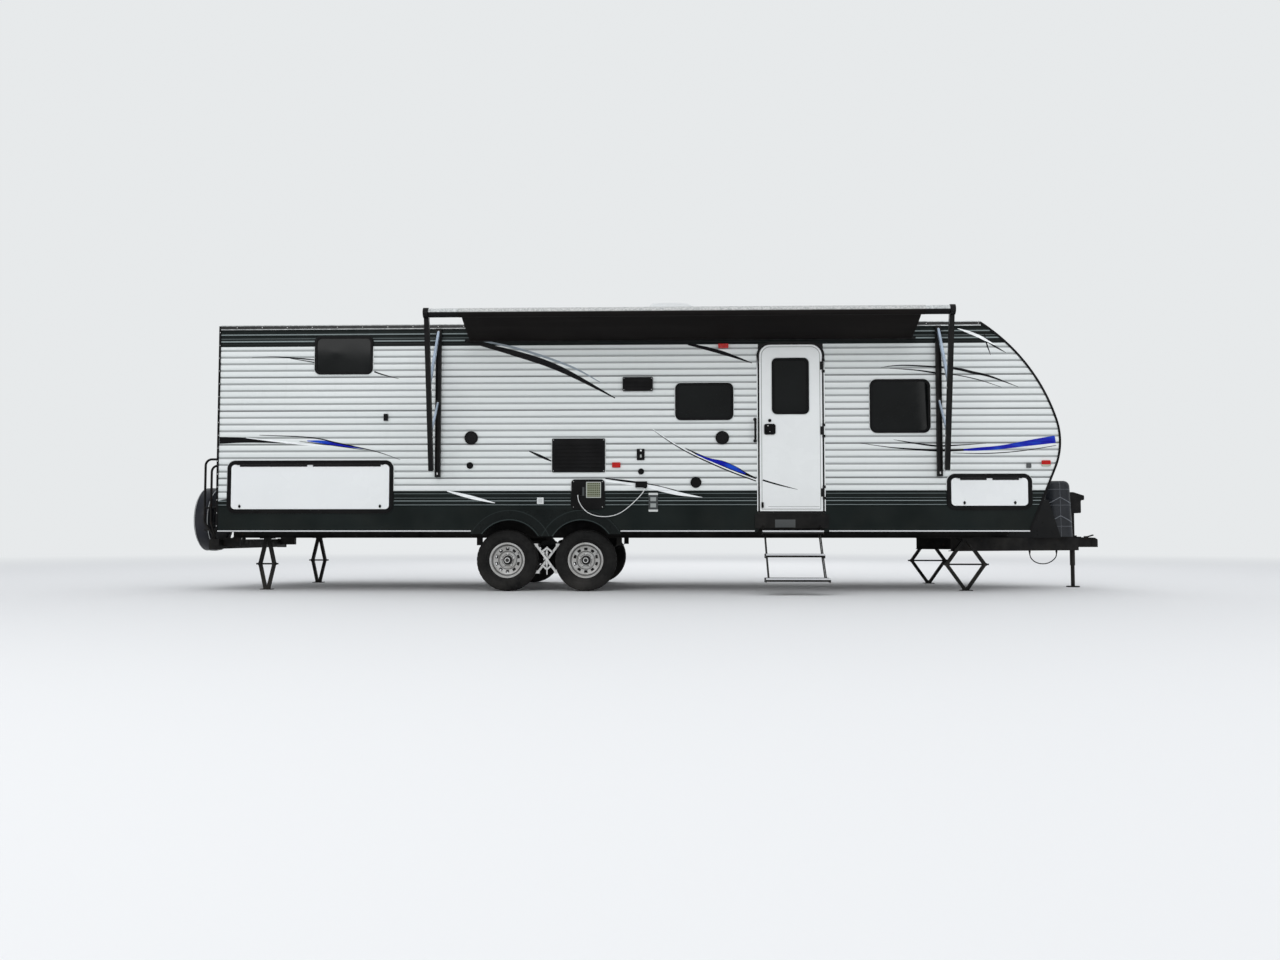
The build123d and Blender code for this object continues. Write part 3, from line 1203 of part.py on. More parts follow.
def build_fittings():
    """Panels, speakers, ports, plates, the outlets of the white cord and the grab handle."""
    pieces = []
    for side, panels in ((-1, PANELS_CURB), (1, PANELS_ROAD)):
        for panel in panels:
            name, x0, x1, z0, z1, radius, proud = panel
            if name in ("louvre", "refrigerator_vent", "range_hood"):
                pieces.append(louvred(panel, side))
            else:
                face = rectangle(x0, x1, z0, z1, radius)
                pieces.append(plate_y(face, side * BODY_HALF, side * (BODY_HALF + proud)))
    for side, rounds in ((-1, ROUNDS_CURB), (1, ROUNDS_ROAD)):
        for x, z, radius, proud in rounds:
            disc = plate_y(Pos(x, z) * Circle(radius), side * BODY_HALF, side * (BODY_HALF + proud))
            dish = plate_y(Pos(x, z) * Circle(radius * 0.78), side * (BODY_HALF + proud - 5),
                           side * (BODY_HALF + proud + 2))
            pieces.append(disc - dish)
    handle_x, low, high = DOOR_X[0] - 47, 1590.0, 1845.0
    out = -(BODY_HALF + 46)
    grip = round_tube([(handle_x, -BODY_HALF, low + 14), (handle_x, out, low + 14),
                       (handle_x, out, high - 14), (handle_x, -BODY_HALF, high - 14)], 11.0, [20.0, 20.0])
    face = -(BODY_HALF + 8)
    bases = [plate_y(Pos(handle_x, z) * Circle(18), -BODY_HALF, face) for z in (low + 14, high - 14)]
    add("wall_panels", group(pieces))
    add("grab_handle", fuse([grip] + bases))


# Lamps. columns: side, x, z, length, height, proud
LAMPS = (
    (-1, 8857.0, 1357.0, 92.0, 62.0, 20.0),
    (-1, 4325.0, 1348.0, 90.0, 56.0, 14.0),
    (-1, 8678.0, 1334.0, 48.0, 52.0, 16.0),
    (-1, 5470.0, 2618.0, 110.0, 46.0, 40.0),
    (1, 8857.0, 1357.0, 92.0, 62.0, 20.0),
    (1, 4550.0, 1348.0, 90.0, 56.0, 14.0),
)


def build_lamps():
    """Side markers on both walls, tail lamps and the row of markers over the rear wall."""
    pieces = []
    for side, x, z, length, height, proud in LAMPS:
        face = rectangle(x - length / 2, x + length / 2, z - height / 2, z + height / 2, 9)
        solid = plate_y(face, side * BODY_HALF, side * (BODY_HALF + proud))
        pieces.append(solid)
    for side in (-1, 1):
        tail = plate_x(rectangle(side * 1080 - 70, side * 1080 + 70, 990, 1210, 24), -26, 0)
        pieces.append(tail)
    for y in (-160.0, 0.0, 160.0):
        pieces.append(plate_x(rectangle(y - 45, y + 45, 2760, 2792, 8), -18, 0))
    add("lamps", group(pieces))


def build_chock():
    """Crossed chock between the tyres: two crossed arms with pads and the screw between."""
    middle = (AXLE_X[0] + AXLE_X[1]) / 2
    y0, y1 = -(WHEEL_Y + 26), -(WHEEL_Y - 14)
    high, low = 492.0, 205.0
    waist = (high + low) / 2
    # how far each pad's end lies from the middle, where the treads' surfaces are
    touch = {z: AXLE_X[1] - middle - sqrt(TYRE_R ** 2 - (z - TYRE_R) ** 2) for z in (high, low)}
    arms = [
        bar((middle - touch[high] + 18, high), (middle + touch[low] - 18, low), 24, y0, y0 + 8),
        bar((middle - touch[low] + 18, low), (middle + touch[high] - 18, high), 24, y1 - 8, y1),
        rod((middle, y0, waist), (middle, y1, waist), 12),
        rod((middle, y0 + 20, low - 30), (middle, y0 + 20, high - 15), 8),
    ]
    for z, rise in ((waist + 75, 40), (waist - 75, -40)):
        for sign in (-1, 1):
            arms.append(bar((middle, z + rise), (middle + sign * 50, z), 18, y0, y1))
    pads = []
    for sign in (-1, 1):
        for z in (high, low):
            inner, outer = middle + sign * (touch[z] - 36), middle + sign * (touch[z] + 12)
            pads.append(bar((inner, z), (outer, z), 34, y0, y1))
    chock = fuse(arms + pads)
    clearance = 0.4
    for x in AXLE_X:
        chock = chock - rod((x, y0 - 5, TYRE_R), (x, y1 + 5, TYRE_R), TYRE_R + clearance)
    add("wheel_chock", chock)


# Cords. Their routes are lists of points chosen by hand.
WHITE_CORD_D = 8.0
WHITE_CORD_Y = -(BODY_HALF + 34.0)
# columns: x, z
WHITE_CORD_ROUTE = (
    (3918.0, 1028.0),
    (3918.0, 985.0),
    (3945.0, 925.0),
    (3992.0, 862.0),
    (4062.0, 818.0),
    (4152.0, 797.0),
    (4252.0, 797.0),
    (4350.0, 823.0),
    (4438.0, 880.0),
    (4517.0, 952.0),
    (4582.0, 1018.0),
    (4618.0, 1062.0),
    (4632.0, 1098.0),
)
CABLE_D = 12.0
CABLE_X = (8957.0, 9313.0)
CABLE_INSET = 22.0
# columns: share of the way from the start to the end, height over the tongue's lower face
CABLE_ROUTE = (
    (0.00, -18.0),
    (0.00, -58.0),
    (0.08, -102.0),
    (0.23, -136.0),
    (0.43, -152.0),
    (0.64, -148.0),
    (0.81, -124.0),
    (0.93, -94.0),
    (1.00, -58.0),
    (1.00, -18.0),
)


def white_cord_points():
    """The white cord's route: a few millimetres out from the wall it hangs on."""
    return [(x, WHITE_CORD_Y, z) for x, z in WHITE_CORD_ROUTE]


def cable_points():
    """The trailer cable's hanging loop under the tongue's member on the door side."""
    (x0, x1), low = CABLE_X, TONGUE_Z[0]
    y0, y1 = [CABLE_INSET - tongue_y(x) for x in CABLE_X]
    return [(x0 + (x1 - x0) * share, y0 + (y1 - y0) * share, low + rise) for share, rise in CABLE_ROUTE]


def bend_radii(points):
    """The largest arc that each corner's runs allow."""
    radii = []
    for before, here, after in zip(points, points[1:], points[2:]):
        a = Vector(*here) - Vector(*before)
        b = Vector(*after) - Vector(*here)
        turn = radians(a.get_angle(b))
        radii.append(0.45 * min(a.length, b.length) / tan(turn / 2))
    return radii


def cord(name, points, diameter):
    """A cord's plain tube, with its radii printed and its volume compared."""
    radii = bend_radii(points)
    path = FilletPolyline(*points, radius=radii)
    start = Plane(origin=path @ 0, z_dir=path % 0)
    solid = sweep(start * Circle(diameter / 2), path=path)
    length = path.length
    ideal = length * 3.14159265 * diameter * diameter / 4
    print(f"{name}: length {length:.0f} mm, least radius {min(radii):.0f} mm, "
          f"volume ratio {solid.volume / ideal:.4f}")
    add(name, solid)


def build_cords():
    """The white cord on the wall and the cable loop under the tongue, with what holds them."""
    white, cable = white_cord_points(), cable_points()
    cord("white_cord", white, WHITE_CORD_D)
    cord("tow_cable", cable, CABLE_D)
    y = WHITE_CORD_Y
    start, end = white[0], white[-1]
    panel_out = -(BODY_HALF + PANELS_CURB[1][6])
    plug = block(start[0] - 17, start[0] + 17, y - 15, panel_out, start[2], start[2] + 42)
    box = block(4530, 4655, -(BODY_HALF), -(BODY_HALF + 26), 1108, 1172)
    gland = block(end[0] - 14, end[0] + 14, y - 13, -(BODY_HALF), end[2] + 2, end[2] + 34)
    tangent = Vector(*white[-1]) - Vector(*white[-2])
    collar = rod(white[-1], tuple(Vector(*white[-1]) + tangent.normalized() * 14), 9)
    outlet = block(start[0] - 45, start[0] + 45, panel_out, panel_out - 7, start[2] - 6, start[2] + 88)
    add("cord_fittings", group([plug + outlet, fuse([box, gland, collar])]))


def build_all():
    """Every node of the caravan, in the working frame."""
    build_shell()
    build_mouldings()
    build_windows()
    build_hatches()
    build_entry_door()
    build_partitions()
    build_fenders()
    build_wheels()
    build_axles()
    build_suspension()
    build_chassis()
    build_coupler()
    build_tongue_jack()
    build_stabilizers()
    build_steps()
    build_rear()
    build_tongue_boxes()
    build_awning()
    build_roof_items()
    build_fittings()
    build_lamps()
    build_chock()
    build_cords()


CORD_NODES = ("white_cord", "tow_cable")


def ground_centre():
    """The bottom centre of the whole object's box, cords apart."""
    boxes = [shape.bounding_box() for name, shape in NODES.items() if name not in CORD_NODES]
    x = (min(b.min.X for b in boxes) + max(b.max.X for b in boxes)) / 2
    y = (min(b.min.Y for b in boxes) + max(b.max.Y for b in boxes)) / 2
    z = min(b.min.Z for b in boxes)
    return Vector(x, y, z)


def main():
    """Build, shift to the bottom centre and write one file per node."""
    os.makedirs("parts", exist_ok=True)
    build_all()
    shift = ground_centre()
    print(f"origin in the working frame: {shift.X:.3f} {shift.Y:.3f} {shift.Z:.3f}")
    for name, shape in NODES.items():
        export_step(Pos(-shift.X, -shift.Y, -shift.Z) * shape, f"parts/{name}.step")


main()
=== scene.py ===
import math

import bmesh
import bpy
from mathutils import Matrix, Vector


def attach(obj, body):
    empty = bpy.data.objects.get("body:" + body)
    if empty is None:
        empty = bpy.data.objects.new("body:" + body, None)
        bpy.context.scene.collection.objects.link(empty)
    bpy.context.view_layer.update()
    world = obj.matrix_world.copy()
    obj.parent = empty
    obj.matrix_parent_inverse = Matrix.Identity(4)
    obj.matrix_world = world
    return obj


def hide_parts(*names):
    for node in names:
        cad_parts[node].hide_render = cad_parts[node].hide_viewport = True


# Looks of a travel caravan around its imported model. Lengths are in metres.
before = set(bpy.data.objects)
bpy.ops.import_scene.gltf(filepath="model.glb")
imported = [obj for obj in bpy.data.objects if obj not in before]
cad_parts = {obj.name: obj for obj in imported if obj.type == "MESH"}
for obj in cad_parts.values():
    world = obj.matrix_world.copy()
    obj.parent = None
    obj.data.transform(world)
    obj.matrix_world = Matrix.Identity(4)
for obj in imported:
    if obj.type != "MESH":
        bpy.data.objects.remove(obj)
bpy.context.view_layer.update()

# Driving sizes, in the caravan's own measures: s runs forward from the rear wall, out runs
# away from the centre plane and z is above the ground.
REAR_X = -4.720
CENTRE_Y = 0.325
BODY_HALF = 1.220
SKIRT_Z = 0.635
ROOF_Z = 2.870
INNER_HALF = 1.1655
FLOOR_Z = 0.785
LINE_DARK = 1.073
LINE_SKIRT = 0.908
LINE_TOP = 2.640
# half the height over which one band's colour runs into the next
BLUR = 0.0015
WEDGE_Z = 0.968
WEDGE_SLOPE = 0.19
RIB_FIRST = 0.927
RIB_PITCH = 0.073
RIB_GROOVE = 0.016
RIB_FLANK = 0.005
RIB_DEEP = 0.0055
RIB_COUNT = 26
DOOR_OUT = 1.230
# hinges and latches stand at least this far off a door's face
PROUD = 0.0006
WHEEL_OUT = 1.0675
TYRE_R = 0.3315
AXLES = {"rear": 3.148, "front": 3.993}
# the rims' slots, painted black over and round their holes as painted shade: how many, their ring's radius,
# half their height and half their angle
SLOT_COUNT = 10
SLOT_RING = 0.121
SLOT_HALF = 0.0145
SLOT_TURN = 0.155
ARCH_S = (3.185, 3.956)
ARCH_Z = 0.400
ARCH_R = 0.360
CURB, ROAD = -1, 1
SIDES = ((CURB, "curb"), (ROAD, "road"))
ROLLER_OUT = 0.620
ROLLER_Z = 2.870
DOOR_BOX = (5.851, 6.518, 0.852, 2.632, 0.120)
DOOR_WINDOW = (5.984, 6.378, 1.885, 2.488, 0.055)
COVER_MIDDLE = 9.3225


def at(s, out, z, side=CURB):
    """A point in the frame, from its measures along, out of and up the caravan."""
    return Vector((REAR_X + s, CENTRE_Y + side * out, z))


# Node helpers


def feed(tree, socket, value):
    """Links a value that is another node's output, or writes a plain one."""
    if isinstance(value, bpy.types.NodeSocket):
        tree.links.new(value, socket)
    else:
        socket.default_value = (*value, 1.0) if socket.type == "RGBA" else value


def add_node(tree, kind, inputs, output=0, **settings):
    """Adds a node, sets or links its inputs, and gives one of its outputs."""
    node = tree.nodes.new("ShaderNode" + kind)
    for name, value in settings.items():
        setattr(node, name, value)
    for name, value in inputs.items():
        feed(tree, node.inputs[name], value)
    return node.outputs[output]


class Look:
    """A material with the few kinds of node that the looks below are made of."""

    def __init__(self, name, rough, grain=None, metal=0.0, coat=0.0, specular=0.5):
        """Roughness is a value or what wander() takes; grain is (distance, strength, scale, detail)."""
        self.material = bpy.data.materials.new(name)
        self.material.use_nodes = True
        self.tree = self.material.node_tree
        self.shader = self.tree.nodes["Principled BSDF"]
        self.place = self.node("TexCoord", {}, "Object")
        self.measures = {}
        self.shade = None
        if isinstance(rough, tuple):
            rough = self.wander(*rough)
        for socket, value in (("Roughness", rough), ("Metallic", metal), ("Coat Weight", coat),
                              ("Specular IOR Level", specular)):
            feed(self.tree, self.shader.inputs[socket], value)
        if grain:
            distance, strength, *noise = grain
            self.bump(self.noise(*noise), distance, strength)

    def node(self, kind, inputs, output=0, **settings):
        return add_node(self.tree, kind, inputs, output, **settings)

    def stretched(self, stretch):
        return self.node("Mapping", {"Vector": self.place, "Scale": stretch})

    def noise(self, scale, detail, stretch=(1, 1, 1), rough=0.5):
        inputs = {"Vector": self.stretched(stretch), "Scale": scale, "Detail": detail, "Roughness": rough}
        return self.node("TexNoise", inputs, "Fac")

    def voronoi(self, scale, stretch=(1, 1, 1)):
        return self.node("TexVoronoi", {"Vector": self.stretched(stretch), "Scale": scale}, "Distance")

    def wave(self, scale, direction):
        return self.node("TexWave", {"Vector": self.place, "Scale": scale}, "Fac", bands_direction=direction)

    def mix(self, factor, a, b):
        return self.node("Mix", {"Factor": factor, "A": a, "B": b}, "Result", data_type="RGBA")

    def bump(self, height, distance, strength):
        inputs = {"Strength": strength, "Distance": distance, "Height": height}
        feed(self.tree, self.shader.inputs["Normal"], self.node("Bump", inputs))

    def span(self, value, low, high, to_low=0.0, to_high=1.0):
        """Maps a value from one range to another, clamped."""
        return self.node("MapRange", {"Value": value, "From Min": low, "From Max": high,
                                      "To Min": to_low, "To Max": to_high})

    def wander(self, low, high, scale, detail, start=0.3, stop=0.7):
        """Noise that wanders between two values."""
        return self.span(self.noise(scale, detail), start, stop, low, high)

    def patch(self, low, high, *noise, **more):
        """Soft patches: noise mapped from between two levels."""
        return self.span(self.noise(*noise, **more), low, high)

    def mottle(self, first, second, *patch):
        """Two colours in soft patches."""
        return self.mix(self.patch(*patch), first, second)

    def math(self, kind, *values):
        return self.node("Math", dict(enumerate(values)), operation=kind)

    def times(self, first, *others):
        for other in others:
            first = self.math("MULTIPLY", first, other)
        return first

    def most(self, first, *others):
        for other in others:
            first = self.math("MAXIMUM", first, other)
        return first

    def minus(self, a, b):
        return self.math("SUBTRACT", a, b)

    def apart(self, a, b):
        return self.math("ABSOLUTE", self.minus(a, b))

    def length(self, a, b):
        square = [self.math("POWER", value, 2.0) for value in (a, b)]
        return self.math("SQRT", self.math("ADD", *square))

    def over(self, value, level):
        return self.math("GREATER_THAN", value, level)

    def under(self, value, level):
        return self.math("LESS_THAN", value, level)

    def near(self, value, middle, half):
        """One where a value lies within half a width of a middle."""
        return self.math("COMPARE", value, middle, half)

    def within(self, value, low, high):
        """One between two values of a measure and zero outside them."""
        return self.near(value, (low + high) / 2, (high - low) / 2)

    def measure(self, name):
        """A point's measure: x, y, z, s, out, or flank, which is out with its sign (below 0 at the door)."""
        if name not in self.measures:
            if name == "s":
                value = self.minus(self.measure("x"), REAR_X)
            elif name == "flank":
                value = self.minus(self.measure("y"), CENTRE_Y)
            elif name == "out":
                value = self.math("ABSOLUTE", self.measure("flank"))
            else:
                value = self.node("SeparateXYZ", {0: self.place}, name.upper())
            self.measures[name] = value
        return self.measures[name]

    def inside(self, s0, s1, z0, z1, side=None, out0=None, out1=None):
        """One inside a box of the caravan's measures."""
        masks = [self.within(self.measure("s"), s0, s1), self.within(self.measure("z"), z0, z1)]
        if out0 is not None:
            masks.append(self.within(self.measure("out"), out0, out1))
        if side is not None:
            masks.append(self.over(self.times(self.measure("flank"), side), 0.0))
        return self.times(*masks)

    def outline(self, s0, s1, z0, z1, radius):
        """Distance from a rounded rectangle's edge on a wall: below zero inside it."""
        parts = []
        for name, low, high in (("s", s0, s1), ("z", z0, z1)):
            away = self.minus(self.apart(self.measure(name), (low + high) / 2), (high - low) / 2)
            parts.append(self.math("ADD", away, radius))
        corner = self.length(*[self.most(part, 0.0) for part in parts])
        flat = self.math("MINIMUM", self.most(*parts), 0.0)
        return self.minus(self.math("ADD", corner, flat), radius)

    def radial(self, s, z):
        """Distance from an axis that runs across the caravan."""
        return self.length(self.minus(self.measure("s"), s), self.minus(self.measure("z"), z))

    def start(self, color, vary=0.12, scale=7.0):
        """Starts the colour with two close shades in soft patches."""
        other = tuple(min(1.0, c * (1 + vary) + 0.002) for c in color)
        self.shade = self.mottle(color, other, 0.35, 0.65, scale, 4.0)

    def paint(self, tint, *masks):
        """Lays a tint over the colour, as far as all masks and shares let it through."""
        self.shade = self.mix(self.times(*masks), self.shade, tint)

    def regions(self, rows):
        """Paints boxes, given as a colour and what inside() takes."""
        for tint, *box in rows:
            self.paint(tint, self.inside(*box))

    def finish(self, dust=0.0, top=0.9, tint=(0.32, 0.29, 0.24)):
        """Puts the colour on the shader, with road dust in patches, more of it low down."""
        if dust > 0:
            low = self.span(self.measure("z"), 0.0, top, 1.0, 0.15)
            self.paint(tint, low, self.patch(0.35, 0.75, 3.2, 5.0), dust)
        feed(self.tree, self.shader.inputs["Base Color"], self.shade)
        return self.material


# Materials

# painted highlights on the ribs of the dark bands, drawn as light lines. columns: height, half width, share
# of the pale colour
PAINTED_RIB_HIGHLIGHTS = ((1.044, 0.003, 0.5), (0.998, 0.003, 0.55), (0.967, 0.004, 0.9), (0.925, 0.004, 0.75),
              (2.773, 0.006, 0.85), (2.728, 0.004, 0.4), (2.699, 0.007, 0.9))
WHITE = (0.80, 0.82, 0.81)
CHARCOAL = (0.0036, 0.0066, 0.0060)
BLACK = (0.0028, 0.0028, 0.0032)
PALE = (0.66, 0.68, 0.67)
SILVER = (0.62, 0.63, 0.64)
PLATE = (0.085, 0.090, 0.090)

# columns: colour, s0, s1, z0, z1, side, out0, out1
PANEL_REGIONS = (
    (PALE, 3.470, 3.560, 0.920, 1.010, CURB),
    ((0.52, 0.54, 0.53), 3.492, 3.536, 0.945, 0.989, CURB, 1.2310, 1.30),
    ((0.055, 0.060, 0.060), 4.660, 4.780, 0.840, 1.060, CURB),
    ((0.60, 0.62, 0.60), 4.660, 4.780, 1.028, 1.060, CURB),
    ((0.60, 0.62, 0.60), 4.660, 4.780, 0.840, 0.872, CURB),
    ((0.30, 0.32, 0.31), 4.690, 4.750, 0.896, 0.938, CURB, 1.2280, 1.30),
    ((0.30, 0.32, 0.31), 4.690, 4.750, 0.962, 1.004, CURB, 1.2280, 1.30),
    ((0.72, 0.74, 0.72), 4.579, 4.597, 1.494, 1.512, CURB, 1.2310, 1.30),
    ((0.40, 0.42, 0.40), 4.580, 4.596, 1.428, 1.458, CURB, 1.2310, 1.30),
    ((0.070, 0.075, 0.075), 3.897, 3.985, 1.020, 1.112, CURB, 1.2330, 1.30),
    (WHITE, 4.742, 5.158, 1.112, 1.588, ROAD),
    (WHITE, 2.142, 2.508, 0.952, 1.308, ROAD),
    (BLACK, 2.300, 2.350, 0.985, 1.015, ROAD, 1.2330, 1.30),
    ((0.62, 0.63, 0.62), 1.885, 2.015, 1.055, 1.185, ROAD),
    ((0.70, 0.71, 0.70), 5.540, 5.660, 1.090, 1.210, ROAD),
)
LAMP_REGIONS = (
    (PLATE, 8.650, 8.706, 1.300, 1.370, CURB),
    ((0.40, 0.43, 0.34), 8.800, 8.910, 1.320, 1.344),
    ((0.60, 0.60, 0.55), 8.800, 8.910, 1.320, 1.400, None, 1.2190, 1.2255),
    ((0.45, 0.35, 0.33), 4.270, 4.280, 1.300, 1.400, CURB),
    ((0.55, 0.55, 0.53), 5.410, 5.530, 2.585, 2.650, CURB, 1.2190, 1.2270),
    ((0.60, 0.60, 0.58), -0.030, 0.001, 0.985, 1.042),
)
# the bright nosings of the three treads and the blank plate over them
STEP_REGIONS = (
    (SILVER, 5.855, 6.505, 0.634, 0.651, None, 1.4130, 1.4290),
    (SILVER, 5.873, 6.487, 0.394, 0.411, None, 1.6280, 1.6440),
    (SILVER, 5.851, 6.509, 0.156, 0.173, None, 1.8630, 1.8790),
    (PLATE, 6.008, 6.226, 0.680, 0.768, None, 1.2345, 1.2400),
)
JACK_REGIONS = (((0.62, 0.64, 0.66), 9.500, 9.700, 0.900, 0.940, None, 0.0, 0.0310),)
# columns: s, z, radius
SPEAKERS = ((2.766, 1.643, 0.072), (5.456, 1.637, 0.072))


def white_band(look, foot=LINE_DARK):
    """One in the walls' white band, between the dark ones."""
    z = look.measure("z")
    low, high = [look.span(look.minus(z, level), -BLUR, BLUR) for level in (foot, LINE_TOP)]
    return look.times(low, look.minus(1.0, high))


def siding_look():
    """Painted ribbed aluminium in bands, with painted shade in the grooves and on the ribs' lower parts,
    painted highlights on the ribs, seams and faint streaks.
    """
    look = Look("siding_paint", (0.30, 0.44, 6.0, 4.0), grain=(0.004, 0.25, 2.4, 3.0, (1.0, 1.0, 0.6)),
                specular=0.10)
    s, z = look.measure("s"), look.measure("z")
    look.shade = look.mottle(CHARCOAL, (0.0062, 0.0105, 0.0100), 0.3, 0.7, 2.0, 3.0)
    # painted highlights: light lines on the ribs of the dark bands
    for level, half, share in PAINTED_RIB_HIGHLIGHTS:
        look.paint((0.24, 0.28, 0.28), look.near(z, level, half), share)
    dark = look.shade
    look.shade = look.mottle(WHITE, (0.75, 0.78, 0.765), 0.3, 0.7, 0.9, 4.0, (0.5, 0.5, 2.5))
    look.paint((0.50, 0.50, 0.45), look.patch(0.55, 0.85, 9.0, 4.0, (3.0, 3.0, 0.12)), 0.10)
    # painted shade in the grooves, darker the deeper a point lies in a groove, on the side walls or on the
    # rear wall
    depth = look.most(look.minus(look.measure("out"), BODY_HALF), look.minus(REAR_X, look.measure("x")))
    look.paint((0.10, 0.11, 0.11), look.span(depth, -0.0050, -0.0012, 1.0, 0.0), 0.62)
    # painted shade on a rib's lower part, which turns to the ground, and a painted highlight on its upper
    # part, which turns to the sky
    turn = look.math("FRACT", look.math("DIVIDE", look.minus(z, RIB_FIRST), RIB_PITCH))
    look.paint((0.34, 0.39, 0.38), look.span(turn, 0.0, 0.42, 1.0, 0.0), 0.30)
    look.paint((0.86, 0.88, 0.87), look.within(turn, 0.62, 0.76), 0.7)
    # behind the rear hatch the white runs lower, down to a dark wedge
    wedge = look.math("MULTIPLY_ADD", s, WEDGE_SLOPE, WEDGE_Z - LINE_DARK)
    foot = look.math("MULTIPLY_ADD", look.within(s, 0.0, 0.160), wedge, LINE_DARK)
    look.shade = look.mix(white_band(look, foot), dark, look.shade)
    seams = [look.near(z, RIB_FIRST + i * RIB_PITCH - RIB_GROOVE / 2, 0.003) for i in range(4, RIB_COUNT, 5)]
    look.paint((0.02, 0.02, 0.02), look.most(*seams), 0.8)
    return look.finish(0.05, top=1.0)


def nose_look():
    """Smooth front wall: white, with the dark band and skirt carried round from the sides."""
    look = Look("nose_paint", (0.30, 0.38, 7.0, 4.0), grain=(0.004, 0.3, 1.6, 2.0), specular=0.15)
    white = look.mottle(WHITE, (0.75, 0.775, 0.76), 0.3, 0.7, 1.2, 4.0)
    look.shade = look.mix(white_band(look), CHARCOAL, white)
    return look.finish(0.05, top=1.0)


def plain_look(name, color, rough, dust, grain=0.0, grain_scale=400.0, vary=0.12, top=1.2, **more):
    """A moulded, painted or metal surface: two close shades, dust low down and a fine grain."""
    bumps = (grain, 0.5, grain_scale, 2.0) if grain > 0 else None
    look = Look(name, (max(0.03, rough - 0.07), rough + 0.09, 18.0, 4.0), bumps, **more)
    look.start(color, vary)
    return look.finish(dust, top=top)


def hatch_look():
    """Baggage doors: smooth white slabs with black hinges and latches proud of them."""
    look = Look("hatch_slab", (0.2, 0.3, 5.0, 3.0), grain=(0.003, 0.3, 1.8, 2.0), coat=0.08, specular=0.15)
    look.start((0.80, 0.815, 0.81), 0.02, 2.0)
    look.paint(BLACK, look.over(look.measure("out"), DOOR_OUT + PROUD))
    return look.finish(0.06, top=1.4)


def door_look():
    """Entry door and its frame: white with a pressed edge line in painted shade, black seals and hinges,
    painted shade on the slab's edges and a painted shadow of the awning along the frame's top.
    """
    look = Look("door_slab", (0.22, 0.32, 5.0, 3.0), coat=0.08, specular=0.15)
    z, out = look.measure("z"), look.measure("out")
    s0, s1, z0, z1, head = DOOR_BOX
    away = look.outline(s0, s1, z0, z1, look.span(z, z0 + 0.3, z0 + 0.4, 0.008, head))
    press = look.within(away, -0.028, -0.019)
    look.start((0.79, 0.805, 0.795), 0.02, 2.0)
    # painted shade in the pressed edge line
    look.paint((0.16, 0.17, 0.16), press, 0.62)
    look.paint((0.12, 0.13, 0.12), look.inside(s0 + 0.089, s1 - 0.038, z0 + 0.048, z0 + 0.054), 0.6)
    # a black seal round the slab; the same black on the slab's edges and in the gap round it is painted shade
    look.paint(BLACK, look.within(away, -0.0012, 0.0175))
    # painted shadow of the awning on the frame's top
    look.paint(BLACK, look.over(away, 0.0), look.span(z, 2.36, 2.50))
    look.paint(BLACK, look.most(look.over(out, DOOR_OUT + PROUD), look.under(z, z0 + 0.003)))
    look.paint((0.56, 0.55, 0.51), look.under(out, DOOR_OUT - 0.0405))
    look.bump(look.minus(1.0, press), 0.002, 0.5)
    return look.finish(0.06, top=1.4)


def rail_look():
    """Gutter rails, black with painted highlights on their lips that grow stronger towards the front, and
    bright skirt rails.
    """
    look = Look("gutter_rail", (0.26, 0.42, 24.0, 4.0), grain=(0.0003, 0.4, 300.0, 2.0), metal=0.35)
    z = look.measure("z")
    pale = look.mottle((0.62, 0.64, 0.64), (0.36, 0.38, 0.38), 0.35, 0.7, 22.0, 5.0)
    # painted highlights along the lips, stronger towards the front, where the light falls harder
    lip = look.most(look.over(z, 2.866), look.within(z, 2.824, 2.834))
    bright = look.span(look.measure("s"), 7.55, 7.75, 0.62, 1.0)
    look.shade = look.mix(look.times(lip, bright), BLACK, pale)
    look.paint(SILVER, look.under(z, 1.0))
    look.paint((0.05, 0.05, 0.05), look.under(z, SKIRT_Z + 0.0035))
    return look.finish(0.12)


def roller_look():
    """Roller ends and tube: mottled pale tops in painted light and dark undersides in painted shade."""
    look = Look("roller_ends", (0.3, 0.5, 30.0, 4.0), grain=(0.0004, 0.4, 200.0, 2.0), metal=0.15,
                specular=0.15)
    pale = look.mottle(PALE, (0.34, 0.35, 0.35), 0.35, 0.7, 40.0, 5.0)
    # painted light on the top and painted shade underneath
    top = look.span(look.measure("z"), ROLLER_Z - 0.002, ROLLER_Z + 0.006)
    look.shade = look.mix(top, (0.004, 0.004, 0.0045), pale)
    return look.finish()


def bottle_look():
    """Moulded bottle cover: dark blue-grey with raised chevrons, a seam and level steps, with painted
    highlights along their ridges.
    """
    look = Look("bottle_mould", (0.36, 0.52, 14.0, 4.0), specular=0.25)
    s, z = look.measure("s"), look.measure("z")
    roofed = look.math("ADD", z, look.times(look.apart(s, COVER_MIDDLE), 0.55))
    ridge = 0.0
    for value, levels, low, high, share in ((roofed, (1.030, 0.820), 0.003, 0.008, 1.0),
                                            (z, (1.120, 0.940, 0.700), 0.002, 0.006, 0.5),
                                            (s, (COVER_MIDDLE,), 0.002, 0.005, 0.6)):
        for level in levels:
            ridge = look.most(look.span(look.apart(value, level), low, high, share, 0.0), ridge)
    look.start((0.011, 0.013, 0.017), 0.3)
    # painted highlights along the chevrons, the seam and the level steps
    look.paint((0.19, 0.20, 0.22), ridge, 0.8)
    look.bump(look.math("ADD", ridge, look.times(look.noise(320.0, 2.0), 0.08)), 0.006, 0.8)
    return look.finish(0.05)


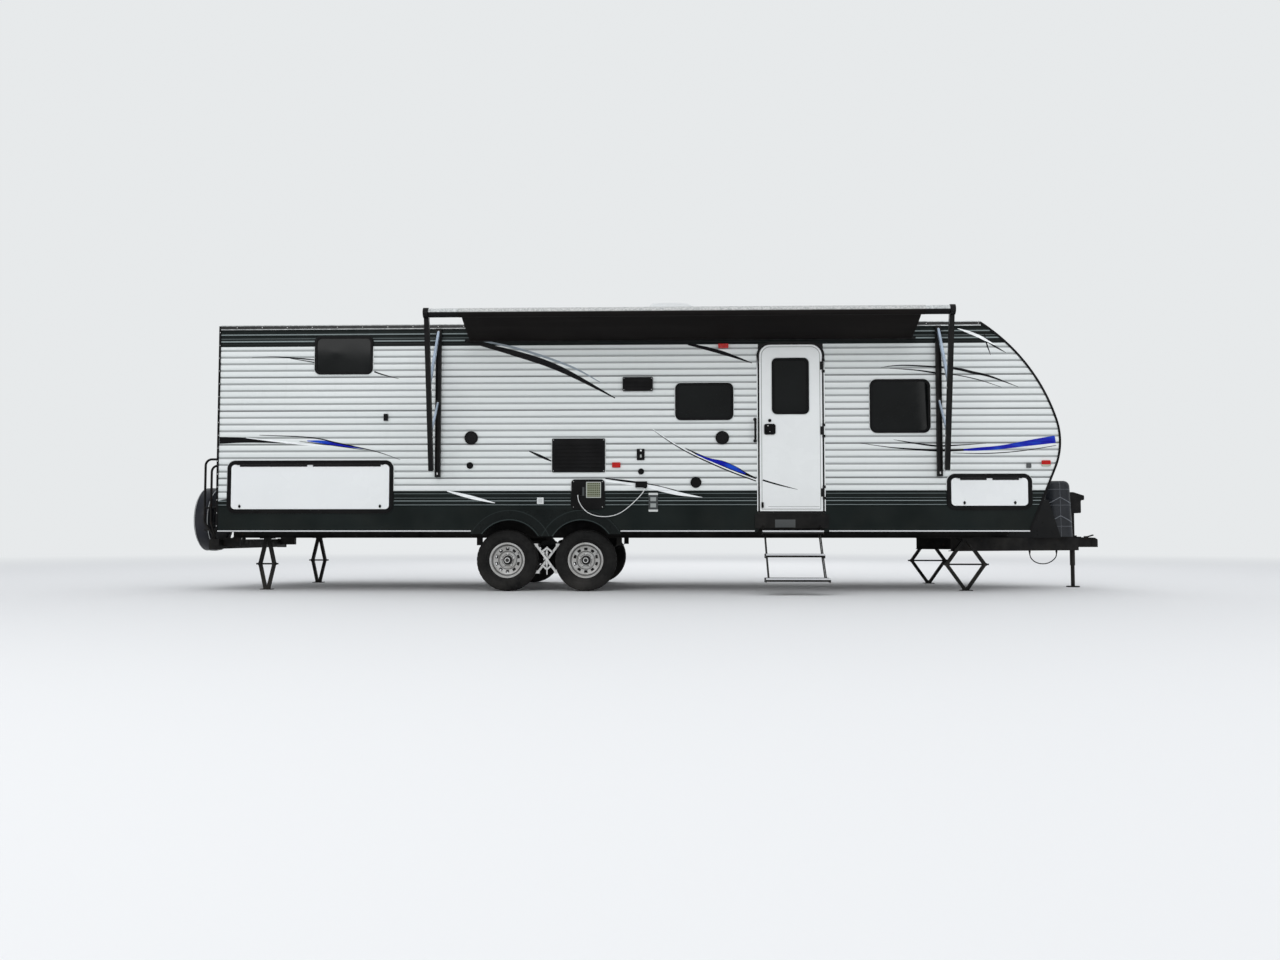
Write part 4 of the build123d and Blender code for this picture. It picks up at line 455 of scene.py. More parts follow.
def panel_look():
    """Wall panels and ports: black mouldings, with the pale plates, covers and grilles among them."""
    look = Look("wall_fittings", (0.3, 0.45, 18.0, 4.0), grain=(0.0003, 0.5, 400.0, 2.0), specular=0.08)
    look.start(BLACK, 0.3)
    look.regions(PANEL_REGIONS)
    # a grille of crossed wires behind the heater's slots
    wires = [look.over(look.math("FRACT", look.times(look.measure(name), count)), 0.6)
             for name, count in (("s", 50.0), ("z", 42.0))]
    grille = look.mix(look.most(*wires), (0.045, 0.050, 0.018), (0.24, 0.26, 0.19))
    front = (CURB, BODY_HALF, BODY_HALF + 0.03)
    look.paint((0.42, 0.44, 0.41), look.inside(4.004, 4.163, 0.998, 1.168, *front))
    look.paint(grille, look.inside(4.013, 4.154, 1.007, 1.159, *front))
    # round holes on a small pitch in the speakers' dishes
    for s, z, radius in SPEAKERS:
        holes = look.span(look.voronoi(160.0, (1, 0.01, 1)), 0.28, 0.34, 1.0, 0.0)
        look.paint((0.05, 0.05, 0.052), holes, look.under(look.radial(s, z), radius * 0.78), 0.5)
    return look.finish(0.06)


def lamp_look():
    """Lamps: fluted lenses in their own colours, on pale or grey bases."""
    look = Look("lamp_lenses", 0.2, specular=0.2)
    look.start((0.42, 0.0045, 0.0030), 0.2, 30.0)
    look.regions(LAMP_REGIONS)
    look.bump(look.wave(90.0, "X"), 0.0010, 0.5)
    return look.finish()


def fender_look():
    """Fenders: charcoal moulding with painted highlights along the arches' lips and round the outside."""
    look = Look("fender_moulding", (0.24, 0.38, 18.0, 4.0), grain=(0.0002, 0.5, 400.0, 2.0), specular=0.10)
    look.start((0.0030, 0.0052, 0.0050))
    for place in ARCH_S:
        away = look.radial(place, ARCH_Z)
        # painted highlights: pale lines along each arch's lip and round the fender's outside
        for low, high, share in ((-0.002, 0.010, 0.85), (0.101, 0.110, 0.45)):
            look.paint((0.034, 0.045, 0.044), look.within(away, ARCH_R + low, ARCH_R + high), share)
    return look.finish(0.02, top=1.2)


def bead_look():
    """Sealant and lips: pale against the white, dark in the dark bands."""
    look = Look("sealant_bead", (0.38, 0.52, 20.0, 3.0), specular=0.15)
    look.start(PALE, 0.1)
    look.shade = look.mix(white_band(look), CHARCOAL, look.shade)
    return look.finish()


def steel_look(name, rust=0.3, rough=0.5, regions=()):
    """Black chassis paint with dust and a little rust at its edges and low places."""
    look = Look(name, (rough - 0.08, rough + 0.2, 16.0, 4.0), grain=(0.0006, 0.6, 180.0, 3.0), specular=0.12)
    look.shade = look.mottle((0.0035, 0.0035, 0.0040), (0.008, 0.008, 0.008), 0.35, 0.7, 12.0, 5.0)
    look.paint((0.085, 0.036, 0.016), look.patch(0.60, 0.74, 22.0, 6.0, rough=0.7), rust)
    look.regions(regions)
    return look.finish(0.10)


def wheel_look():
    """Silver wheel paint: slots and the rim behind its face in painted shade, painted shade at the steps of
    the dish, a black centre, and brake dust in patches.
    """
    look = Look("wheel_paint", (0.28, 0.5, 24.0, 4.0), grain=(0.0003, 0.4, 300.0, 2.0), metal=0.2,
                specular=0.3)
    s, z = look.measure("s"), look.measure("z")
    look.shade = look.mottle((0.50, 0.50, 0.49), (0.37, 0.36, 0.34), 0.3, 0.7, 9.0, 4.0)
    look.paint((0.13, 0.115, 0.095), look.patch(0.5, 0.8, 30.0, 6.0, rough=0.65), 0.5)
    for place in AXLES.values():
        away = look.radial(place, TYRE_R)
        near = look.under(look.apart(s, place), 0.25)
        # painted shade: dark rings at the steps of the dish
        for radius, half, share in ((0.163, 0.0050, 0.8), (0.098, 0.004, 0.75), (0.062, 0.003, 0.8)):
            look.paint((0.05, 0.05, 0.05), look.near(away, radius, half), near, share)
        # painted shade on the rim behind its face and in the slots; the centre is black
        behind = look.times(look.over(away, 0.096), look.under(look.measure("out"), WHEEL_OUT + 0.013))
        turn = look.math("ARCTAN2", look.minus(s, place), look.minus(z, TYRE_R))
        wide = look.under(look.math("PINGPONG", turn, math.pi / SLOT_COUNT), SLOT_TURN)
        slot = look.times(wide, look.near(away, SLOT_RING, SLOT_HALF))
        look.paint(BLACK, look.most(behind, look.under(away, 0.050), slot), near, 0.97)
    return look.finish(0.2, top=0.5)


def rubber_look():
    """Tyre rubber: near black, greyed by dust on the tread and low on the walls."""
    look = Look("tyre_rubber", (0.6, 0.85, 40.0, 3.0), grain=(0.0005, 0.7, 500.0, 3.0), specular=0.15)
    look.shade = look.mottle((0.0045, 0.0045, 0.0045), (0.0095, 0.0095, 0.0090), 0.3, 0.7, 14.0, 5.0)
    return look.finish(0.35, top=0.4, tint=(0.12, 0.11, 0.10))


def glass_look():
    """Dark tinted glass, with a faint film."""
    look = Look("tinted_glass", (0.03, 0.10, 5.0, 4.0, 0.35, 0.75), specular=0.15)
    look.start((0.0022, 0.0028, 0.0028), 0.6, 1.4)
    return look.finish()


def fabric_look():
    """Awning vinyl: dark woven underside, with the roll's top pale, partly its guard and partly painted
    light.
    """
    look = Look("awning_vinyl", 0.75, specular=0.10)
    look.shade = look.mottle((0.0055, 0.0045, 0.0045), (0.0090, 0.0075, 0.0070), 0.3, 0.7, 1.4, 4.0)
    look.paint((0.022, 0.020, 0.018), look.patch(0.5, 0.8, 5.0, 4.0, (0.2, 3.0, 3.0)), 0.25)
    # pale along the roll's top: partly its guard, partly painted light where it faces the sky
    pale = look.mottle((0.42, 0.43, 0.42), (0.60, 0.60, 0.58), 0.4, 0.6, 60.0, 3.0)
    past = look.over(look.measure("out"), BODY_HALF + ROLLER_OUT - 0.055)
    look.paint(pale, look.span(look.measure("z"), ROLLER_Z - 0.004, ROLLER_Z + 0.006), past)
    look.bump(look.times(look.wave(180.0, "X"), look.wave(180.0, "Y")), 0.0004, 0.5)
    return look.finish()


def vinyl_look():
    """Spare wheel cover: dark navy vinyl with a leather grain and soft creases."""
    look = Look("cover_vinyl", 0.42, coat=0.05, specular=0.2)
    look.shade = look.mottle((0.0055, 0.0070, 0.0120), (0.0095, 0.0115, 0.0190), 0.3, 0.7, 6.0, 4.0)
    look.bump(look.math("ADD", look.times(look.voronoi(260.0), 0.25), look.noise(7.0, 3.0)), 0.004, 0.35)
    return look.finish(0.10, top=1.3)


def wood_look(name, pale, dark):
    """Board or panelling inside, with a faint grain; black at the walls' cut edges and under the floor."""
    look = Look(name, 0.6, grain=(0.0008, 0.4, 8.0, 5.0, (1.0, 20.0, 20.0)), specular=0.2)
    look.shade = look.mottle(pale, dark, 0.3, 0.7, 4.0, 6.0, (1.0, 14.0, 14.0))
    edge = look.most(look.over(look.measure("out"), INNER_HALF), look.under(look.measure("z"), FLOOR_Z))
    look.paint(BLACK, edge)
    return look.finish()


def blue_look():
    """The blue of the sweeps: a deep and a lighter blue in soft patches."""
    look = Look("stripe_blue", 0.28, specular=0.10)
    look.shade = look.mottle((0.006, 0.010, 0.34), (0.012, 0.07, 0.52), 0.45, 0.62, 3.0, 3.0, (1.0, 1.0, 4.0))
    return look.finish()


LOOKS = {
    "siding": siding_look(),
    "nose": nose_look(),
    "slab": plain_look("white_slab", (0.78, 0.795, 0.79), 0.26, coat=0.05, dust=0.06, vary=0.02, top=1.4,
                       specular=0.2),
    "hatch": hatch_look(),
    "door": door_look(),
    "rail": rail_look(),
    "roof": plain_look("roof_membrane", (0.62, 0.62, 0.60), 0.75, dust=0.25, grain=0.001, grain_scale=120.0,
                       top=5.0),
    "board": wood_look("inner_board", (0.62, 0.53, 0.40), (0.50, 0.41, 0.30)),
    "floor": wood_look("floor_board", (0.33, 0.25, 0.18), (0.22, 0.16, 0.11)),
    "trim": plain_look("black_moulding", BLACK, 0.36, dust=0.03, grain=0.0003, specular=0.08),
    "fender": fender_look(),
    "gloss_trim": plain_look("gloss_black", (0.004, 0.004, 0.0045), 0.16, dust=0.03, specular=0.2),
    "steel": steel_look("chassis_black"),
    "steps": steel_look("step_black", regions=STEP_REGIONS),
    "jack": steel_look("jack_black", rust=0.05, rough=0.42, regions=JACK_REGIONS),
    "arm": steel_look("awning_black", rust=0.02, rough=0.36),
    "roller": roller_look(),
    "rafter": plain_look("rafter_aluminium", (0.30, 0.36, 0.44), 0.30, metal=0.6, dust=0.06, vary=0.25),
    "zinc": plain_look("zinc_plated", (0.60, 0.60, 0.59), 0.34, metal=0.6, dust=0.12, vary=0.15,
                       grain=0.0003),
    "wheel": wheel_look(),
    "rubber": rubber_look(),
    "glass": glass_look(),
    "fabric": fabric_look(),
    "vinyl": vinyl_look(),
    "piping": plain_look("white_piping", (0.42, 0.43, 0.43), 0.4, dust=0.15, specular=0.2),
    "bottle": bottle_look(),
    "wedge": plain_look("wedge_box", (0.0034, 0.0040, 0.0046), 0.32, dust=0.03, specular=0.12),
    "panels": panel_look(),
    "lamps": lamp_look(),
    "bead": bead_look(),
    "cord_white": plain_look("white_jacket", (0.70, 0.71, 0.70), 0.45, dust=0.10),
    "cord_black": plain_look("black_jacket", (0.005, 0.005, 0.006), 0.55, dust=0.05, specular=0.15),
    "paint_black": plain_look("stripe_black", (0.003, 0.003, 0.004), 0.30, dust=0.01, specular=0.08),
    "paint_grey": plain_look("stripe_grey", (0.26, 0.30, 0.33), 0.30, dust=0.02, specular=0.1),
    "paint_white": plain_look("stripe_white", (0.84, 0.86, 0.86), 0.26, coat=0.2, dust=0.02),
    "paint_blue": blue_look(),
}

NODE_LOOKS = {
    "siding": ("siding_curb", "siding_road", "siding_rear"),
    "nose": ("wall_front",),
    "board": ("wall_curb", "wall_road", "wall_rear", "storage_partitions"),
    "floor": ("floor",),
    "roof": ("roof",),
    "slab": ("roof_air_conditioner", "roof_vent_base", "roof_vent_lid"),
    "hatch": ("rear_hatch", "front_hatch_curb", "front_hatch_road"),
    "door": ("entry_door", "entry_door_frame"),
    "trim": ("edge_mouldings", "window_frames", "hatch_frames", "grab_handle", "entry_door_fittings",
             "cord_fittings"),
    "fender": ("fender_skirts",),
    "panels": ("wall_panels",),
    "rail": ("body_rails",),
    "roller": ("awning_roller",),
    "rafter": ("awning_rafters",),
    "arm": ("awning_arms",),
    "glass": ("window_glass", "entry_door_glass"),
    "steel": ("axles", "suspension", "main_rails", "cross_members", "tongue_frame", "coupler",
              "stabilizer_jacks", "rear_bumper"),
    "steps": ("entry_steps",),
    "jack": ("tongue_jack",),
    "vinyl": ("spare_wheel_cover",),
    "bottle": ("bottle_cover",),
    "wedge": ("tongue_box",),
    "lamps": ("lamps",),
    "zinc": ("wheel_chock",),
    "fabric": ("awning_fabric",),
    "cord_white": ("white_cord",),
    "cord_black": ("tow_cable",),
}


def dress(node, look):
    """Gives a carried-over node its material."""
    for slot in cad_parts[node].material_slots:
        slot.material = LOOKS[look]


for look_name, nodes in NODE_LOOKS.items():
    for node in nodes:
        dress(node, look_name)
for _, word in SIDES:
    for place in AXLES:
        dress(f"wheel_{place}_{word}_rim", "wheel")
        dress(f"wheel_{place}_{word}_tyre", "rubber")


# Mesh helpers


def add_object(name, data, look=None):
    """Links a new object to the scene, with a look if it takes one."""
    obj = bpy.data.objects.new(name, data)
    bpy.context.scene.collection.objects.link(obj)
    if look:
        data.materials.append(look)
    return obj


def piece(name, bm, look, body, smooth=True, replaces=()):
    """Turns a bmesh into a piece that rides on a body."""
    mesh = bpy.data.meshes.new(name)
    bmesh.ops.recalc_face_normals(bm, faces=bm.faces[:])
    bm.to_mesh(mesh)
    bm.free()
    obj = add_object(name, mesh, LOOKS[look])
    for polygon in mesh.polygons:
        polygon.use_smooth = smooth
    if smooth:
        mesh.set_sharp_from_angle(angle=math.radians(35))
    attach(obj, body)
    if replaces:
        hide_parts(*replaces)
    return obj


def around(count, radius):
    """Points (a, b) evenly spaced round a circle."""
    turns = [2 * math.pi * i / count for i in range(count)]
    return [(radius * math.cos(turn), radius * math.sin(turn)) for turn in turns]


def ring_faces(bm, rings, closed=True, caps=False):
    """Skins a list of vertex rings."""
    count = len(rings[0])
    for a, b in zip(rings, rings[1:]):
        for i in range(count if closed else count - 1):
            j = (i + 1) % count
            bm.faces.new((a[i], a[j], b[j], b[i]))
    if caps:
        bm.faces.new(rings[0])
        bm.faces.new(list(reversed(rings[-1])))


def lathe(bm, profile, centre, axis, segments, cap=True):
    """Turns a profile of (along, radius) about an axis through a centre."""
    axis = Vector(axis).normalized()
    side = axis.orthogonal().normalized()
    other = axis.cross(side)
    rings = []
    for along, radius in profile:
        middle = Vector(centre) + axis * along
        rings.append([bm.verts.new(middle + side * a + other * b) for a, b in around(segments, radius)])
    ring_faces(bm, rings, caps=cap)
    return rings


def prism(bm, centre, size):
    """A box about a centre."""
    for vert in bmesh.ops.create_cube(bm, size=1.0)["verts"]:
        vert.co = Vector(c * s for c, s in zip(vert.co, size)) + centre


def tube(bm, points, radius, segments, closed=False):
    """A round tube along points."""
    rings = []
    count = len(points)
    normal = None
    for i, point in enumerate(points):
        before = points[i - 1] if i > 0 or closed else point
        after = points[(i + 1) % count] if i < count - 1 or closed else point
        tangent = (after - before).normalized()
        if normal is None:
            normal = tangent.orthogonal().normalized()
        normal = (normal - tangent * normal.dot(tangent)).normalized()
        other = tangent.cross(normal)
        rings.append([bm.verts.new(point + normal * a + other * b) for a, b in around(segments, radius)])
    if closed:
        rings.append(rings[0])
    ring_faces(bm, rings, caps=not closed)


def smooth_line(points, steps):
    """Points of a smooth line through given points, each a tuple of any length."""
    def between(p0, p1, p2, p3, t):
        return tuple(0.5 * (2 * b + (c - a) * t + (2 * a - 5 * b + 4 * c - d) * t * t
                            + (3 * b - 3 * c + d - a) * t * t * t) for a, b, c, d in zip(p0, p1, p2, p3))
    line = []
    for i in range(len(points) - 1):
        p0 = points[max(i - 1, 0)]
        p3 = points[min(i + 2, len(points) - 1)]
        for k in range(steps):
            line.append(between(p0, points[i], points[i + 1], p3, k / steps))
    line.append(points[-1])
    return line


def rounded_points(s0, s1, z0, z1, radius, grow):
    """Points (s, z) of a rounded rectangle grown by so much."""
    points = []
    reach = radius + grow
    for s, z, first in ((s1 - radius, z1 - radius, 0), (s0 + radius, z1 - radius, 90),
                        (s0 + radius, z0 + radius, 180), (s1 - radius, z0 + radius, 270)):
        for i in range(9):
            turn = math.radians(first + 90 * i / 8)
            points.append((s + reach * math.cos(turn), z + reach * math.sin(turn)))
    return points


# Beads and screws on the walls

# how deep a bead's edges reach into the wall
BEAD_SINK = 0.004
BEAD_WIDE = 0.007
BEAD_HIGH = 0.0012
LIP_WIDE = 0.010
LIP_HIGH = 0.003


def bead(name, box, width, out, body, side=CURB, height=BEAD_HIGH):
    """A pale bead of sealant or lip round a frame: a low ridge that follows its outline."""
    bm = bmesh.new()
    rings = []
    for share, rise in ((0.0, -BEAD_SINK), (0.0, height * 0.6), (0.3, height), (0.7, height),
                        (1.0, height * 0.6), (1.0, -BEAD_SINK)):
        points = rounded_points(*box, width * share)
        rings.append([bm.verts.new(at(s, out + rise, z, side)) for s, z in points])
    ring_faces(bm, rings + [rings[0]])
    piece(name, bm, "bead", body)


# columns: name, side, s0, s1, z0, z1, outer radius
FRAMES = (
    ("bunk", CURB, 1.056, 1.690, 2.336, 2.752, 0.062),
    ("middle", CURB, 4.955, 5.575, 1.826, 2.226, 0.062),
    ("front", CURB, 7.020, 7.658, 1.683, 2.256, 0.075),
    ("rear_hatch", CURB, 0.121, 1.928, 0.835, 1.404, 0.087),
    ("front_hatch", CURB, 7.821, 8.709, 0.866, 1.248, 0.087),
    ("bunk_road", ROAD, 1.075, 1.708, 2.080, 2.476, 0.062),
    ("dinette", ROAD, 3.150, 4.500, 1.700, 2.260, 0.075),
    ("galley", ROAD, 5.300, 6.160, 1.820, 2.220, 0.062),
    ("front_road", ROAD, 7.020, 7.646, 1.683, 2.244, 0.075),
    ("front_hatch_road", ROAD, 7.821, 8.709, 0.866, 1.248, 0.087),
    ("water_heater", CURB, 3.846, 4.202, 0.876, 1.195, 0.040),
    ("louvre", CURB, 3.638, 4.205, 1.271, 1.632, 0.012),
    ("refrigerator_vent", ROAD, 4.750, 5.150, 1.120, 1.580, 0.012),
    ("service_hatch", ROAD, 2.150, 2.500, 0.960, 1.300, 0.025),
)


def build_beads():
    """Pale beads round windows, hatches and panels, and the lip round the door's window."""
    for name, side, *box in FRAMES:
        bead("bead_" + name, box, BEAD_WIDE, BODY_HALF, "trailer", side)
    bead("bead_door_window", DOOR_WINDOW, LIP_WIDE, DOOR_OUT, "entry_door", height=LIP_HIGH)


SCREW_R = 0.004
ROW_SCREW_R = 0.0045
HANDLE_SCREW_R = 0.006
HANDLE_FACE = 0.014


def screw(bm, s, out, z, side, radius=SCREW_R):
    """A domed screw head on a wall."""
    lathe(bm, [(-0.001, radius), (0.0008, radius), (0.0018, radius * 0.7), (0.0021, radius * 0.3)],
          at(s, out, z, side), (0, side, 0), 10)


# columns: s0, s1, z0, z1, out, side, inset
SCREWED = (
    (3.638, 4.205, 1.271, 1.632, 1.2340, CURB, 0.015),
    (4.393, 4.716, 2.140, 2.290, 1.2460, CURB, 0.014),
    (3.846, 4.202, 0.876, 1.195, 1.2340, CURB, 0.024),
    (4.670, 4.770, 0.850, 1.050, 1.2290, CURB, 0.010),
    (4.750, 5.150, 1.120, 1.580, 1.2340, ROAD, 0.015),
    (2.150, 2.500, 0.960, 1.300, 1.2340, ROAD, 0.020),
)
# rows of screws on both sides. columns: count, first s, step, how far off the wall, first z, step
SCREW_ROWS = ((16, 0.011, 0.0, 0.006, 0.70, 0.14), (30, 0.20, 0.275, 0.012, 2.850, 0.0))
# columns: s, z
HANDLE_SCREWS = ((5.941, 1.762), (5.961, 1.702))


def build_screws():
    """Screw heads at the panels' corners, along the mouldings and on the door's handle."""
    bm = bmesh.new()
    for s0, s1, z0, z1, out, side, inset in SCREWED:
        for s in (s0 + inset, s1 - inset):
            for z in (z0 + inset, z1 - inset):
                screw(bm, s, out, z, side)
    for side in (CURB, ROAD):
        for count, s, along, off, z, up in SCREW_ROWS:
            for i in range(count):
                screw(bm, s + along * i, BODY_HALF + off, z + up * i, side, ROW_SCREW_R)
    piece("panel_screws", bm, "zinc", "trailer")
    bm = bmesh.new()
    for s, z in HANDLE_SCREWS:
        screw(bm, s, DOOR_OUT + HANDLE_FACE, z, CURB, HANDLE_SCREW_R)
    piece("handle_screws", bm, "zinc", "entry_door")


# Bolts of the chock and of the awning's arms

CHOCK_S = 3.5705
CHOCK_WAIST = 0.3485
RATCHET_OUT = 1.101
RATCHET_RISE = 0.058
CROSS_BOLT_OUT = 1.0935
CROSS_BOLT_S = 0.050
CROSS_BOLT_RISE = 0.075
ARM_S = (2.410, 7.745)
ARM_HALF = 0.025
# columns: how far off the wall, z
ARM_JOINTS = ((0.330, 1.270), (0.388, 1.620), (0.468, 2.100))
CHANNEL_OUT = 0.042
CHANNEL_SCREWS_Z = (1.250, 1.262, 2.020, 2.790)


def build_chock_bolts():
    """The two ratchets of the crossed chock and the bolts on its arms."""
    bm = bmesh.new()
    for sign in (1, -1):
        lathe(bm, [(-0.030, 0.007), (-0.028, 0.011), (-0.016, 0.0115), (-0.014, 0.016), (0.014, 0.016),
                   (0.016, 0.0115), (0.028, 0.011), (0.030, 0.007)],
              at(CHOCK_S, RATCHET_OUT, CHOCK_WAIST + sign * RATCHET_RISE), (0, 0, 1), 12)
    for sign in (1, -1):
        for s in (CHOCK_S - CROSS_BOLT_S, CHOCK_S + CROSS_BOLT_S):
            lathe(bm, [(0.0, 0.010), (0.006, 0.010), (0.0075, 0.008), (0.008, 0.003)],
                  at(s, CROSS_BOLT_OUT, CHOCK_WAIST + sign * CROSS_BOLT_RISE), (0, CURB, 0), 6)
    piece("chock_bolts", bm, "zinc", "trailer")


def build_arm_bolts():
    """Bright bolts at the joints of the awning's arms, and screws down their wall channels."""
    bm = bmesh.new()
    for s in ARM_S:
        for out, z in ARM_JOINTS:
            for sign in (-1, 1):
                lathe(bm, [(0.0, 0.011), (0.003, 0.011), (0.0032, 0.008), (0.009, 0.0078), (0.010, 0.006)],
                      at(s + sign * ARM_HALF, BODY_HALF + out, z), (sign, 0, 0), 6)
        for z in CHANNEL_SCREWS_Z:
            lathe(bm, [(0.0, 0.007), (0.003, 0.006), (0.004, 0.003)],
                  at(s, BODY_HALF + CHANNEL_OUT, z), (0, CURB, 0), 8)
    piece("arm_bolts", bm, "zinc", "trailer")


# Rear scissor legs

LEG_S = 0.434
LEG_OUT = 0.860
LEG_SPREAD = 0.078
LEG_WAIST_Z = 0.284
# the lower back bar's width and depth, and its foot's place (s from the leg's middle, z)
LEG_BAR = (0.034, 0.038)
LEG_BAR_FOOT = (-0.018, 0.022)
# columns: height of the middle, size
LEG_BOXES = ((0.0035, (0.130, 0.090, 0.007)), (0.0205, (0.068, 0.052, 0.035)))


def link(bm, start, end, width, depth, side):
    """A flat bar between two points (s, z) in a leg's plane."""
    run = Vector((end[0] - start[0], end[1] - start[1]))
    across = Vector((-run.y, run.x)).normalized() * width / 2
    corners = ((1, -1), (1, 1), (-1, 1), (-1, -1))
    rings = [[bm.verts.new(at(s + across.x * turn, LEG_OUT + out * depth / 2, z + across.y * turn, side))
              for turn, out in corners] for s, z in (start, end)]
    ring_faces(bm, rings, caps=True)


def build_rear_legs():
    """The foot and the lower back bar of each rear leg, which its solid lacks."""
    bm = bmesh.new()
    for side in (CURB, ROAD):
        foot = (LEG_S + LEG_BAR_FOOT[0], LEG_BAR_FOOT[1])
        link(bm, foot, (LEG_S - LEG_SPREAD, LEG_WAIST_Z), *LEG_BAR, side)
        for z, size in LEG_BOXES:
            prism(bm, at(LEG_S, LEG_OUT, z, side), size)
    piece("rear_leg_feet", bm, "steel", "trailer", smooth=False)


# Spare wheel cover

SPARE_FACE_S = -0.205
SPARE_FLANK = -0.550
SPARE_Z = 0.780
PIPING_R = 0.0042
# columns: distance behind the carrier, radius
PIPING = ((0.1715, 0.3515), (0.0300, 0.3465))
# heights of the gathered folds, of the slack round the tread and of the hollow in the face
COVER_GATHER = 0.0035
COVER_SLACK = 0.0012
COVER_HOLLOW = 0.0030
COVER_FOLDS = 42
# columns: distance behind the carrier, radius
SPARE_PROFILE = (
    (0.002, 0.050), (0.012, 0.070), (0.014, 0.160), (0.010, 0.235), (0.003, 0.242), (0.001, 0.260),
    (0.002, 0.290), (0.010, 0.320), (0.026, 0.343), (0.048, 0.354), (0.080, 0.358), (0.115, 0.3585),
    (0.145, 0.356), (0.168, 0.350), (0.174, 0.349), (0.180, 0.346), (0.188, 0.335), (0.195, 0.312),
    (0.1985, 0.275), (0.200, 0.220), (0.201, 0.150), (0.202, 0.080), (0.2025, 0.020),
)


def build_spare_cover():
    """Fitted vinyl cover over the spare: gathered behind, crowned, with piping at its face."""
    segments = 168
    bm = bmesh.new()
    centre = Vector((REAR_X + SPARE_FACE_S, CENTRE_Y + SPARE_FLANK, SPARE_Z))
    rings = []
    for along, radius in SPARE_PROFILE:
        gather = COVER_GATHER * max(0.0, 1.0 - abs(along - 0.010) / 0.045) if radius > 0.24 else 0.0
        slack = COVER_SLACK if 0.04 < along < 0.17 else 0.0
        hollow = COVER_HOLLOW * max(0.0, 1 - radius / 0.31) if along > 0.19 else 0.0
        ring = []
        for i in range(segments):
            turn = 2 * math.pi * i / segments
            reach = radius + gather * math.sin(COVER_FOLDS * turn + 0.7 * math.sin(3 * turn))
            reach += slack * (math.sin(5 * turn + 40 * along) - 1)
            sink = abs(hollow * math.sin(turn * 2 + 1.1))
            place = Vector((sink - along, reach * math.cos(turn), reach * math.sin(turn)))
            ring.append(bm.verts.new(centre + place))
        rings.append(ring)
    ring_faces(bm, rings, caps=True)
    piece("spare_cover_skin", bm, "vinyl", "trailer", replaces=("spare_wheel_cover",))
    bm = bmesh.new()
    for along, radius in PIPING:
        loop = [centre + Vector((-along, a, b)) for a, b in around(96, radius)]
        tube(bm, loop, PIPING_R, 8, closed=True)
    piece("spare_cover_piping", bm, "piping", "trailer")


# Stripes and sweeps on the walls


def rib_levels():
    """Heights where the siding's section bends, each with its depth below the ribs' crowns."""
    levels = [(SKIRT_Z, 0.0), (LINE_SKIRT, 0.0), (LINE_SKIRT + RIB_FLANK, RIB_DEEP)]
    for i in range(RIB_COUNT):
        low = RIB_FIRST + i * RIB_PITCH
        high = low + RIB_PITCH - RIB_GROOVE
        levels += [(low, RIB_DEEP), (low + RIB_FLANK, 0.0), (high - RIB_FLANK, 0.0), (high, RIB_DEEP)]
    levels.append((ROOF_Z, RIB_DEEP))
    return levels


LEVELS = rib_levels()


def wall_depth(z):
    """How deep the siding's face lies at a height."""
    for (z0, d0), (z1, d1) in zip(LEVELS, LEVELS[1:]):
        if z0 <= z <= z1:
            return d0 + (d1 - d0) * (z - z0) / max(z1 - z0, 1e-9)
    return 0.0


# heights over the siding, from step to step, and over the door; and the least width
STRIPE_STEP = 0.0005
DOOR_LIFT = 0.0006
THINNEST = 0.0015


def stripe(name, look, points, side, body="trailer", flat_out=None, lift=DOOR_LIFT):
    """A tapered stroke on a wall. Points are (s, z, width); it follows the ribs unless flat."""
    line = smooth_line(points, 8)
    bm = bmesh.new()
    pairs = []
    for i, (s, z, width) in enumerate(line):
        s0, z0 = line[max(i - 1, 0)][:2]
        s1, z1 = line[min(i + 1, len(line) - 1)][:2]
        length = math.hypot(s1 - s0, z1 - z0)
        normal = (-(z1 - z0) / length, (s1 - s0) / length)
        half = max(width, THINNEST) / 2
        pairs.append([bm.verts.new((s + sign * normal[0] * half, 0, z + sign * normal[1] * half))
                      for sign in (-1, 1)])
    for (a, b), (c, d) in zip(pairs, pairs[1:]):
        bm.faces.new((a, c, d, b))
    if flat_out is None:
        low, high = min(v.co.z for v in bm.verts), max(v.co.z for v in bm.verts)
        for level, depth in LEVELS:
            if low < level < high:
                bmesh.ops.bisect_plane(bm, geom=bm.verts[:] + bm.edges[:] + bm.faces[:],
                                       plane_co=(0, 0, level), plane_no=(0, 0, 1))
    for vert in bm.verts:
        out = flat_out if flat_out is not None else BODY_HALF - wall_depth(vert.co.z)
        vert.co = at(vert.co.x, out + lift, vert.co.z, side)
    piece(name, bm, look, body, smooth=False)


